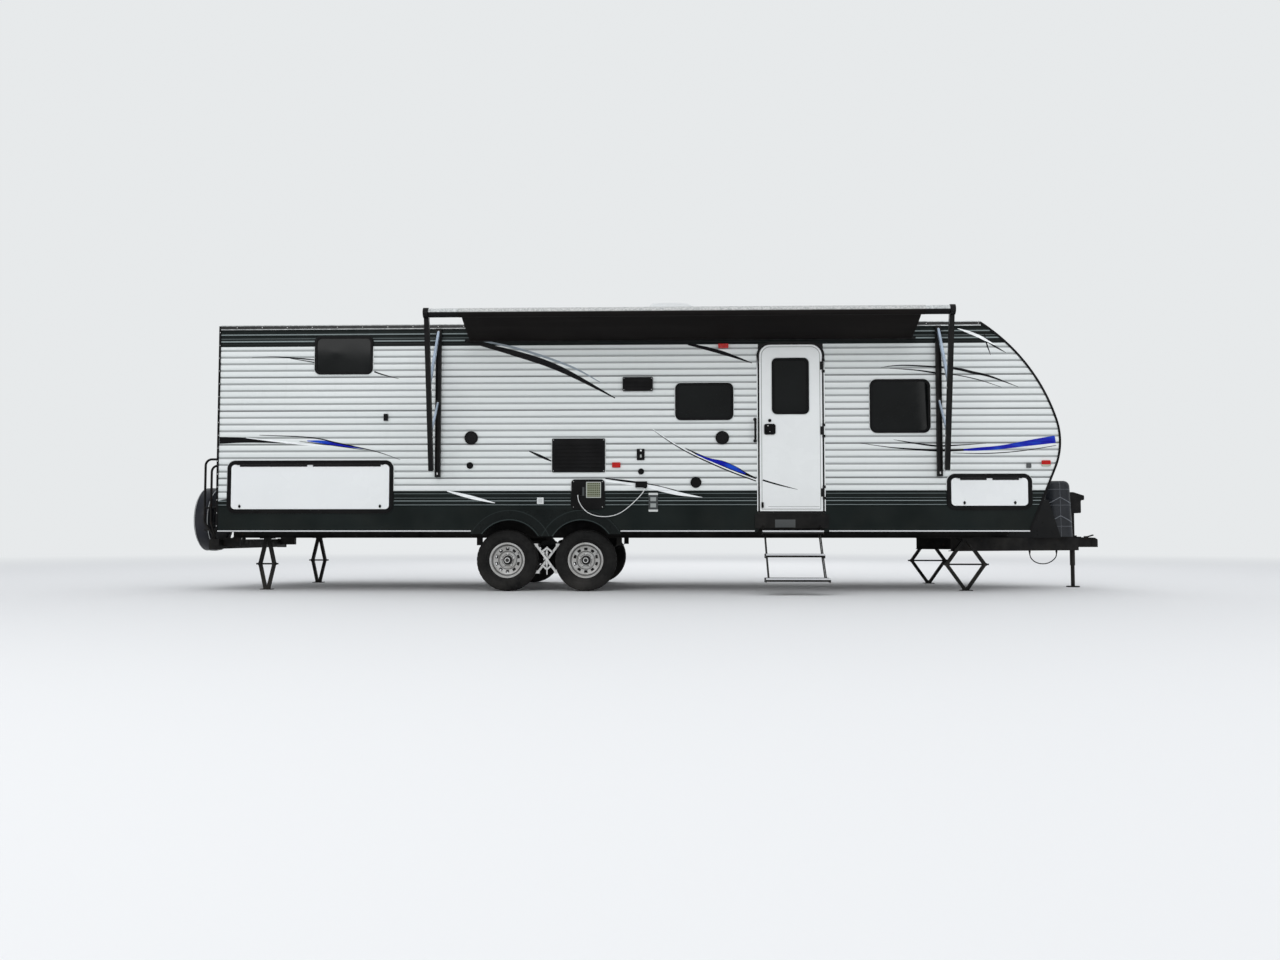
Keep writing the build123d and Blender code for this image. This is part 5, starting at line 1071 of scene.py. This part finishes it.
# columns: name, colour, height over the siding in steps, points of (s, z, width)
STRIPES = (
    ("rear_wedge", "black", 1, ((0.024, 1.625, 0.075), (0.346, 1.624, 0.050), (0.749, 1.593, 0.007))),
    ("rear_line", "black", 3, ((0.463, 1.680, 0.005), (0.865, 1.664, 0.010), (1.099, 1.642, 0.012),
        (1.283, 1.600, 0.013), (1.517, 1.550, 0.012), (1.767, 1.491, 0.008), (2.001, 1.408, 0.003))),
    ("rear_pale", "white", 2, ((0.312, 1.652, 0.006), (0.665, 1.612, 0.018), (0.966, 1.580, 0.020),
        (1.267, 1.560, 0.005))),
    ("rear_blue", "blue", 2, ((0.983, 1.617, 0.007), (1.150, 1.604, 0.032), (1.334, 1.576, 0.030),
        (1.601, 1.528, 0.005))),
    ("rear_under", "black", 1, ((0.900, 1.612, 0.004), (1.150, 1.582, 0.010), (1.400, 1.548, 0.010),
        (1.650, 1.510, 0.003))),
    ("bunk_upper", "black", 1, ((0.363, 2.528, 0.003), (0.582, 2.533, 0.008), (0.784, 2.522, 0.015),
        (1.072, 2.494, 0.012))),
    ("bunk_lower", "black", 1, ((0.784, 2.514, 0.006), (1.073, 2.466, 0.012))),
    ("bunk_tail", "black", 1, ((1.706, 2.364, 0.015), (1.807, 2.330, 0.013), (1.974, 2.286, 0.003))),
    ("middle_stroke", "black", 2, ((2.689, 2.700, 0.020), (3.254, 2.549, 0.062), (3.719, 2.384, 0.060),
        (4.311, 2.068, 0.010))),
    ("middle_grey", "grey", 1, ((2.743, 2.722, 0.014), (3.286, 2.600, 0.024), (3.826, 2.413, 0.022),
        (4.149, 2.240, 0.008))),
    ("short_stroke", "black", 1, ((5.094, 2.646, 0.024), (5.435, 2.558, 0.040), (5.776, 2.438, 0.008))),
    ("louvre_lead", "black", 1, ((3.389, 1.501, 0.010), (3.507, 1.447, 0.028), (3.630, 1.392, 0.014))),
    ("lower_black", "black", 1, ((4.208, 1.205, 0.010), (4.420, 1.178, 0.022), (4.654, 1.146, 0.014),
        (4.803, 1.112, 0.018), (4.967, 1.076, 0.008))),
    ("lower_white", "white", 2, ((4.208, 1.180, 0.012), (4.450, 1.150, 0.026), (4.654, 1.124, 0.033),
        (4.803, 1.089, 0.048), (4.997, 1.041, 0.036), (5.243, 1.001, 0.004))),
    ("fender_white", "white", 2, ((2.508, 1.073, 0.012), (2.757, 1.009, 0.036), (3.026, 0.944, 0.006))),
    ("sweep_white", "white", 2, ((4.714, 1.733, 0.005), (4.908, 1.600, 0.009), (5.103, 1.487, 0.010),
        (5.297, 1.396, 0.010), (5.550, 1.288, 0.010), (5.812, 1.189, 0.009))),
    ("sweep_black", "black", 1, ((4.714, 1.724, 0.003), (4.908, 1.589, 0.010), (5.103, 1.475, 0.013),
        (5.297, 1.382, 0.014), (5.550, 1.272, 0.013), (5.812, 1.175, 0.012))),
    ("sweep_edge", "black", 1, ((5.060, 1.530, 0.004), (5.297, 1.410, 0.036), (5.461, 1.360, 0.060),
        (5.594, 1.303, 0.056), (5.713, 1.243, 0.036), (5.812, 1.200, 0.020))),
    ("sweep_blue", "blue", 3, ((5.180, 1.463, 0.004), (5.297, 1.412, 0.024), (5.461, 1.362, 0.044),
        (5.594, 1.305, 0.040), (5.700, 1.252, 0.010))),
    ("front_stroke", "black", 2, ((7.145, 2.384, 0.003), (7.368, 2.405, 0.012), (7.745, 2.384, 0.018),
        (7.944, 2.365, 0.028), (8.105, 2.326, 0.028), (8.296, 2.280, 0.021), (8.588, 2.167, 0.003))),
    ("front_under", "black", 1, ((7.234, 2.373, 0.005), (7.515, 2.352, 0.012), (7.744, 2.318, 0.018),
        (7.943, 2.297, 0.009), (8.178, 2.244, 0.009), (8.412, 2.165, 0.003))),
    ("nose_line", "black", 1, ((6.914, 1.576, 0.004), (7.209, 1.533, 0.009), (7.504, 1.507, 0.018),
        (7.740, 1.496, 0.024), (7.931, 1.498, 0.022), (8.093, 1.504, 0.018))),
    ("nose_upper", "black", 1, ((7.269, 1.612, 0.003), (7.505, 1.571, 0.015), (7.726, 1.544, 0.018),
        (7.932, 1.551, 0.013), (8.241, 1.569, 0.003))),
    ("nose_blue", "blue", 2, ((8.004, 1.501, 0.018), (8.137, 1.508, 0.033), (8.387, 1.527, 0.040),
        (8.680, 1.571, 0.060), (8.962, 1.612, 0.080))),
    ("nose_lower", "black", 1, ((7.886, 1.469, 0.004), (8.239, 1.463, 0.009), (8.606, 1.489, 0.009),
        (8.972, 1.546, 0.006))),
    ("crown_white", "white", 3, ((7.958, 2.796, 0.005), (8.097, 2.747, 0.028), (8.214, 2.693, 0.028),
        (8.346, 2.617, 0.008))),
    ("crown_black", "black", 2, ((8.112, 2.731, 0.006), (8.258, 2.660, 0.018), (8.360, 2.595, 0.018),
        (8.462, 2.534, 0.003))),
    ("crown_branch", "black", 2, ((8.237, 2.738, 0.005), (8.265, 2.618, 0.015), (8.303, 2.510, 0.003))),
)
DOOR_STRIPE = ((5.882, 1.184, 0.017), (6.053, 1.134, 0.015), (6.250, 1.084, 0.003))
ROAD_SKIPS = ("bunk_upper", "bunk_lower", "bunk_tail", "middle_stroke", "middle_grey", "louvre_lead")


def build_stripes():
    """The stripes of both walls; the road side has the same set, apart from its windows' places."""
    for name, color, step, points in STRIPES:
        for side, word in SIDES:
            if side == CURB or name not in ROAD_SKIPS:
                stripe(f"stripe_{word}_{name}", "paint_" + color, points, side, lift=STRIPE_STEP * step)
    stripe("stripe_door", "paint_black", DOOR_STRIPE, CURB, body="entry_door", flat_out=DOOR_OUT)


# Wheels

# columns: distance from the tyre's middle, radius; first the side wall and then the grooved tread
TYRE_PROFILE = [
    (0.072, 0.178), (0.072, 0.190), (0.080, 0.192), (0.086, 0.197), (0.0945, 0.212), (0.0985, 0.226),
    (0.0995, 0.227), (0.0995, 0.231), (0.0990, 0.232), (0.1015, 0.246), (0.1025, 0.256), (0.1020, 0.272),
    (0.0995, 0.288), (0.0980, 0.289), (0.0978, 0.294), (0.0965, 0.296), (0.0900, 0.3085),
    (0.0885, 0.3145), (0.0805, 0.3235), (0.068, 0.3282), (0.0675, 0.3200), (0.0625, 0.3200), (0.0620, 0.3290),
    (0.043, 0.3305), (0.0425, 0.3215), (0.0365, 0.3215), (0.0360, 0.3308), (0.016, 0.3314), (0.0155, 0.3222),
    (0.0095, 0.3222), (0.0090, 0.3315),
]
TREAD_CUT = 0.0045
SHOULDER_R = 0.313
SHOULDER_Y = 0.0725
GROOVE_R = 0.323
NUT_COUNT = 5
NUT_RING = 0.0665
# the valve's place from the wheel's middle, and its radius
VALVE_S = 0.118
VALVE_OUT = 0.044
VALVE_RISE = 0.075
VALVE_R = 0.0042
# how far the rim's middle stands out of the wheel's centre plane
HUB_FACE = 0.0202


def build_tyre(name, s, side):
    """Tyre with grooved tread, shoulder blocks and ringed walls."""
    centre = at(s, WHEEL_OUT, TYRE_R, side)
    segments = 144
    profile = TYRE_PROFILE + [(-y, r) for y, r in reversed(TYRE_PROFILE)]
    bm = bmesh.new()
    rings = lathe(bm, profile, centre, (0, 1, 0), segments, cap=False)
    first, last = rings[0], rings[-1]
    for i in range(segments):
        j = (i + 1) % segments
        bm.faces.new((first[j], first[i], last[i], last[j]))
    # blocks: every fourth column is cut in, stepped from row to row; walls and grooves stay
    for index, (y, r) in enumerate(profile):
        if r < SHOULDER_R or r < GROOVE_R and abs(y) < SHOULDER_Y:
            continue
        shift = 0 if y > 0.05 else 2 if y > 0.012 else 1 if y > -0.05 else 3
        for i in range(segments):
            if (i + shift) % 4 == 0:
                vert = rings[index][i]
                inward = Vector((centre.x - vert.co.x, 0, centre.z - vert.co.z)).normalized()
                vert.co += inward * TREAD_CUT
    piece(name + "_treaded", bm, "rubber", name, replaces=(name + "_tyre",))


def build_wheel_trim(name, s, side):
    """Wheel nuts, dark hub cap with a bright ring, and valve."""
    bm = bmesh.new()
    hub, outward = at(s, WHEEL_OUT + HUB_FACE, TYRE_R, side), (0, side, 0)
    for i in range(NUT_COUNT):
        turn = 2 * math.pi * (i + 0.25) / NUT_COUNT
        centre = hub + Vector((NUT_RING * math.cos(turn), 0, NUT_RING * math.sin(turn)))
        lathe(bm, [(0, 0.0115), (0.002, 0.0118), (0.012, 0.0112), (0.017, 0.0080), (0.0185, 0.0030)],
              centre, outward, 6)
    lathe(bm, [(0.0440, 0.0300), (0.0478, 0.0285), (0.0478, 0.0210), (0.0440, 0.0190)], hub, outward, 24,
          cap=False)
    piece(name + "_nuts", bm, "zinc", name, smooth=False)
    bm = bmesh.new()
    lathe(bm, [(-0.002, 0.047), (0.004, 0.0475), (0.006, 0.0435), (0.036, 0.0425), (0.042, 0.0390),
               (0.0455, 0.0320), (0.0465, 0.0180), (0.0440, 0.0165), (0.0440, 0.0010)], hub, outward, 40)
    piece(name + "_cap", bm, "gloss_trim", name)
    bm = bmesh.new()
    stem = at(s + VALVE_S, WHEEL_OUT + VALVE_OUT, TYRE_R + VALVE_RISE, side)
    inner, tip = stem - Vector((0, side * 0.020, 0)), stem + Vector((0.006, side * 0.022, 0.004))
    tube(bm, [inner, stem, tip], VALVE_R, 8)
    piece(name + "_valve", bm, "rubber", name)


def build_wheels():
    """Tyres and trim of the four wheels."""
    for side, word in SIDES:
        for place, s in AXLES.items():
            name = f"wheel_{place}_{word}"
            build_tyre(name, s, side)
            build_wheel_trim(name, s, side)


# Awning

FABRIC_S = (2.745, 7.471)
AWNING_RAIL_OUT = 0.018
AWNING_RAIL_Z = 2.695
ROLL_R = 0.050
ROLL_INNER_R = 0.0385
# how deep the fabric's middle lies in the roll's surface
ROLL_SKIN = 0.0015
ROLL_TURNS = 3.6
SAG = 0.012
SAG_STEPS = 14
RIPPLE = 0.0018


def awning_line():
    """The fabric's section in (out, z): from the wall rail, over the roll's top and round it."""
    run, rise = ROLLER_OUT - AWNING_RAIL_OUT, ROLLER_Z - AWNING_RAIL_Z
    far = math.hypot(run, rise)
    touch = ROLL_R - ROLL_SKIN
    slope = math.atan2(rise, run) + math.asin(touch / far)
    length = math.sqrt(far * far - touch * touch)
    end = (AWNING_RAIL_OUT + length * math.cos(slope), AWNING_RAIL_Z + length * math.sin(slope))
    line = []
    for i in range(SAG_STEPS):
        t = i / SAG_STEPS
        line.append((AWNING_RAIL_OUT + (end[0] - AWNING_RAIL_OUT) * t,
                     AWNING_RAIL_Z + (end[1] - AWNING_RAIL_Z) * t - 4 * SAG * t * (1 - t)))
    start = math.atan2(end[1] - ROLLER_Z, end[0] - ROLLER_OUT)
    count = int(ROLL_TURNS * 32)
    for i in range(count + 1):
        t = i / count
        turn = start - 2 * math.pi * ROLL_TURNS * t
        radius = touch + (ROLL_INNER_R - touch) * t
        line.append((ROLLER_OUT + radius * math.cos(turn), ROLLER_Z + radius * math.sin(turn)))
    return line


def build_awning_fabric():
    """The vinyl between the wall rail and the roller, with the part still rolled up."""
    line = awning_line()
    columns = 40
    bm = bmesh.new()
    rows = []
    for out, z in line:
        height = RIPPLE * min(1.0, max(0.0, (ROLLER_OUT - 0.06 - out) * 6))
        row = []
        for i in range(columns + 1):
            t = i / columns
            s = FABRIC_S[0] + (FABRIC_S[1] - FABRIC_S[0]) * t
            ripple = height * math.sin(t * 46.0 + out * 9.0)
            row.append(bm.verts.new(at(s, BODY_HALF + out, z + ripple)))
        rows.append(row)
    ring_faces(bm, rows, closed=False)
    obj = piece("awning_vinyl", bm, "fabric", "trailer", replaces=("awning_fabric",))


# Cords: the routes repeat the solid model's, in metres

WHITE_CORD_OUT = 1.254
WHITE_CORD_D = 0.008
# columns: s, z
WHITE_CORD_ROUTE = (
    (3.918, 1.028), (3.918, 0.985), (3.945, 0.925), (3.992, 0.862), (4.062, 0.818), (4.152, 0.797),
    (4.252, 0.797), (4.350, 0.823), (4.438, 0.880), (4.517, 0.952), (4.582, 1.018), (4.618, 1.062),
    (4.632, 1.098),
)
# strain reliefs: how long, and the radii that they narrow between
WHITE_RELIEF_LONG = 0.026
WHITE_RELIEF_R = (0.0072, 0.0044)
CABLE_RELIEF_LONG = 0.024
CABLE_RELIEF_R = (0.0098, 0.0064)
RELIEF_STEPS = 8
RELIEF_RIB = 0.0006
CABLE_D = 0.012
# columns: s, out
CABLE_START = (8.957, 0.34905)
CABLE_END = (9.313, 0.18680)
# columns: share of the way from the start to the end, z
CABLE_ROUTE = ((0.00, 0.407), (0.00, 0.367), (0.08, 0.323), (0.23, 0.289), (0.43, 0.273), (0.64, 0.277),
               (0.81, 0.301), (0.93, 0.331), (1.00, 0.367), (1.00, 0.407))


def cord_curve(name, points, diameter, slot, node):
    """A cord as one smooth spline with its route's points as control points."""
    curve = bpy.data.curves.new(name, "CURVE")
    curve.dimensions = "3D"
    curve.bevel_depth = diameter / 2
    curve.bevel_resolution = 4
    curve.resolution_u = 12
    curve.use_fill_caps = True
    spline = curve.splines.new("NURBS")
    spline.points.add(len(points) - 1)
    for item, point in zip(spline.points, points):
        item.co = (*point, 1.0)
    spline.order_u = 3
    spline.use_endpoint_u = True
    obj = add_object(name, curve, LOOKS[slot])
    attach(obj, "trailer")
    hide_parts(node)
    return obj


def taper(name, start, end, radii, slot):
    """A ribbed strain relief that narrows onto a cord."""
    wide, narrow = radii
    bm = bmesh.new()
    profile = []
    for i in range(RELIEF_STEPS + 1):
        t = i / RELIEF_STEPS
        rib = RELIEF_RIB if i % 2 and i < RELIEF_STEPS else 0.0
        profile.append(((end - start).length * t, wide + (narrow - wide) * t - rib))
    lathe(bm, profile, start, end - start, 20)
    return piece(name, bm, slot, "trailer")


def build_cords():
    """The white cord under the water heater and the hanging loop of the trailer cable."""
    white = [at(s, WHITE_CORD_OUT, z) for s, z in WHITE_CORD_ROUTE]
    obj = cord_curve("white_cord_line", white, WHITE_CORD_D, "cord_white", "white_cord")
    below = white[0] - Vector((0, 0, WHITE_RELIEF_LONG))
    back = white[-1].lerp(white[-2], 0.6)
    ends = [taper("white_relief_start", white[0], below, WHITE_RELIEF_R, "cord_white"),
            taper("white_relief_end", white[-1], back, WHITE_RELIEF_R, "cord_white")]
    ds, dout = CABLE_END[0] - CABLE_START[0], CABLE_END[1] - CABLE_START[1]
    cable = [at(CABLE_START[0] + ds * share, CABLE_START[1] + dout * share, z) for share, z in CABLE_ROUTE]
    obj = cord_curve("tow_cable_line", cable, CABLE_D, "cord_black", "tow_cable")
    down = Vector((0, 0, CABLE_RELIEF_LONG))
    ends = [taper(f"cable_relief_{word}", point, point - down, CABLE_RELIEF_R, "cord_black")
            for word, point in (("start", cable[0]), ("end", cable[-1]))]


# Floor, camera and lights

CAMERA_S = 4.957
CAMERA_OUT = 12.620
CAMERA_Z = 0.610
CAMERA_YAW = 1.9
CAMERA_PITCH = 2.9
FOCAL_SHARE = 1071 / 1280


def build_camera():
    """The photograph's view: low, in front of the fenders and a little tilted up."""
    camera = bpy.data.cameras.new("camera")
    camera.sensor_width = 36.0
    camera.lens = 36.0 * FOCAL_SHARE
    camera.clip_end = 300.0
    obj = add_object("camera", camera)
    obj.location = at(CAMERA_S, CAMERA_OUT, CAMERA_Z)
    obj.rotation_euler = (math.radians(90 + CAMERA_PITCH), 0, math.radians(CAMERA_YAW))
    bpy.context.scene.camera = obj


def area_light(name, place, aim, size, power):
    """A soft rectangular lamp at a place, aimed at a point."""
    lamp = bpy.data.lights.new(name, "AREA")
    lamp.shape = "RECTANGLE"
    lamp.size, lamp.size_y = size
    lamp.energy = power
    obj = add_object(name, lamp)
    obj.location = place
    obj.rotation_euler = (Vector(aim) - Vector(place)).to_track_quat("-Z", "Y").to_euler()


BACKDROP = (0.80, 0.82, 0.83)
# columns: name, place, aim, size, power
LIGHTS = (
    ("overhead", (0.0, -3.0, 14.0), (0.0, -2.0, 0.0), (26.0, 18.0), 420),
    ("key", (-5.0, -13.0, 7.0), (0.0, 0.0, 1.4), (8.0, 5.0), 330),
    ("fill", (8.0, -11.0, 4.0), (1.0, 0.0, 1.3), (6.0, 4.0), 130),
    ("back", (1.0, 11.0, 7.5), (0.0, 0.3, 1.2), (9.0, 4.0), 260),
)
SKY = (0.92, 0.95, 1.0)
SKY_STRENGTH = 0.82
FLOOR_SIZE = 60.0
# distances at which the floor starts to fade and ends as backdrop
FADE = (10.0, 26.0)


def seen_by(tree, *kinds):
    """One for rays of the named kinds."""
    seen = 0.0
    for kind in kinds:
        ray = add_node(tree, "LightPath", {}, f"Is {kind} Ray")
        seen = add_node(tree, "Math", {0: seen, 1: ray}, operation="MAXIMUM")
    return seen


def blend(tree, factor, first, second, output):
    """Shows one shader or the other, by a factor, at an output."""
    mixed = add_node(tree, "MixShader", {0: factor, 1: first, 2: second})
    feed(tree, tree.nodes[output].inputs["Surface"], mixed)


def floor_look():
    """Pale matt floor that keeps its shadows near by and fades to the backdrop far away."""
    look = Look("studio_floor", 0.9)
    feed(look.tree, look.shader.inputs["Base Color"], (0.78, 0.78, 0.775))
    away = look.length(look.measure("x"), look.measure("y"))
    fade = look.node("MapRange", {"Value": away, "From Min": FADE[0], "From Max": FADE[1]},
                     interpolation_type="SMOOTHSTEP")
    seen = seen_by(look.tree, "Camera", "Glossy")
    shown = look.node("Emission", {"Color": BACKDROP})
    blend(look.tree, look.times(seen, fade), look.shader.outputs[0], shown, "Material Output")
    return look.material


def build_stage():
    """Plain pale floor and soft studio light."""
    bm = bmesh.new()
    bmesh.ops.create_grid(bm, x_segments=1, y_segments=1, size=FLOOR_SIZE)
    mesh = bpy.data.meshes.new("floor_plane")
    bm.to_mesh(mesh)
    bm.free()
    obj = add_object("floor_plane", mesh, floor_look())
    for name, place, aim, size, power in LIGHTS:
        area_light(name, place, aim, size, power)
    world = bpy.data.worlds.new("studio")
    bpy.context.scene.world = world
    world.use_nodes = True
    tree = world.node_tree
    light = tree.nodes["Background"]
    feed(tree, light.inputs["Color"], SKY)
    feed(tree, light.inputs["Strength"], SKY_STRENGTH)
    shown = add_node(tree, "Background", {"Color": BACKDROP, "Strength": 1.0})
    seen = seen_by(tree, "Camera", "Glossy", "Transmission")
    blend(tree, seen, light.outputs[0], shown, "World Output")
    bpy.context.scene.view_settings.view_transform = "Standard"


build_camera()
build_stage()
build_cords()
build_stripes()
build_wheels()
build_awning_fabric()
build_beads()
build_screws()
build_chock_bolts()
build_arm_bolts()
build_rear_legs()
build_spare_cover()
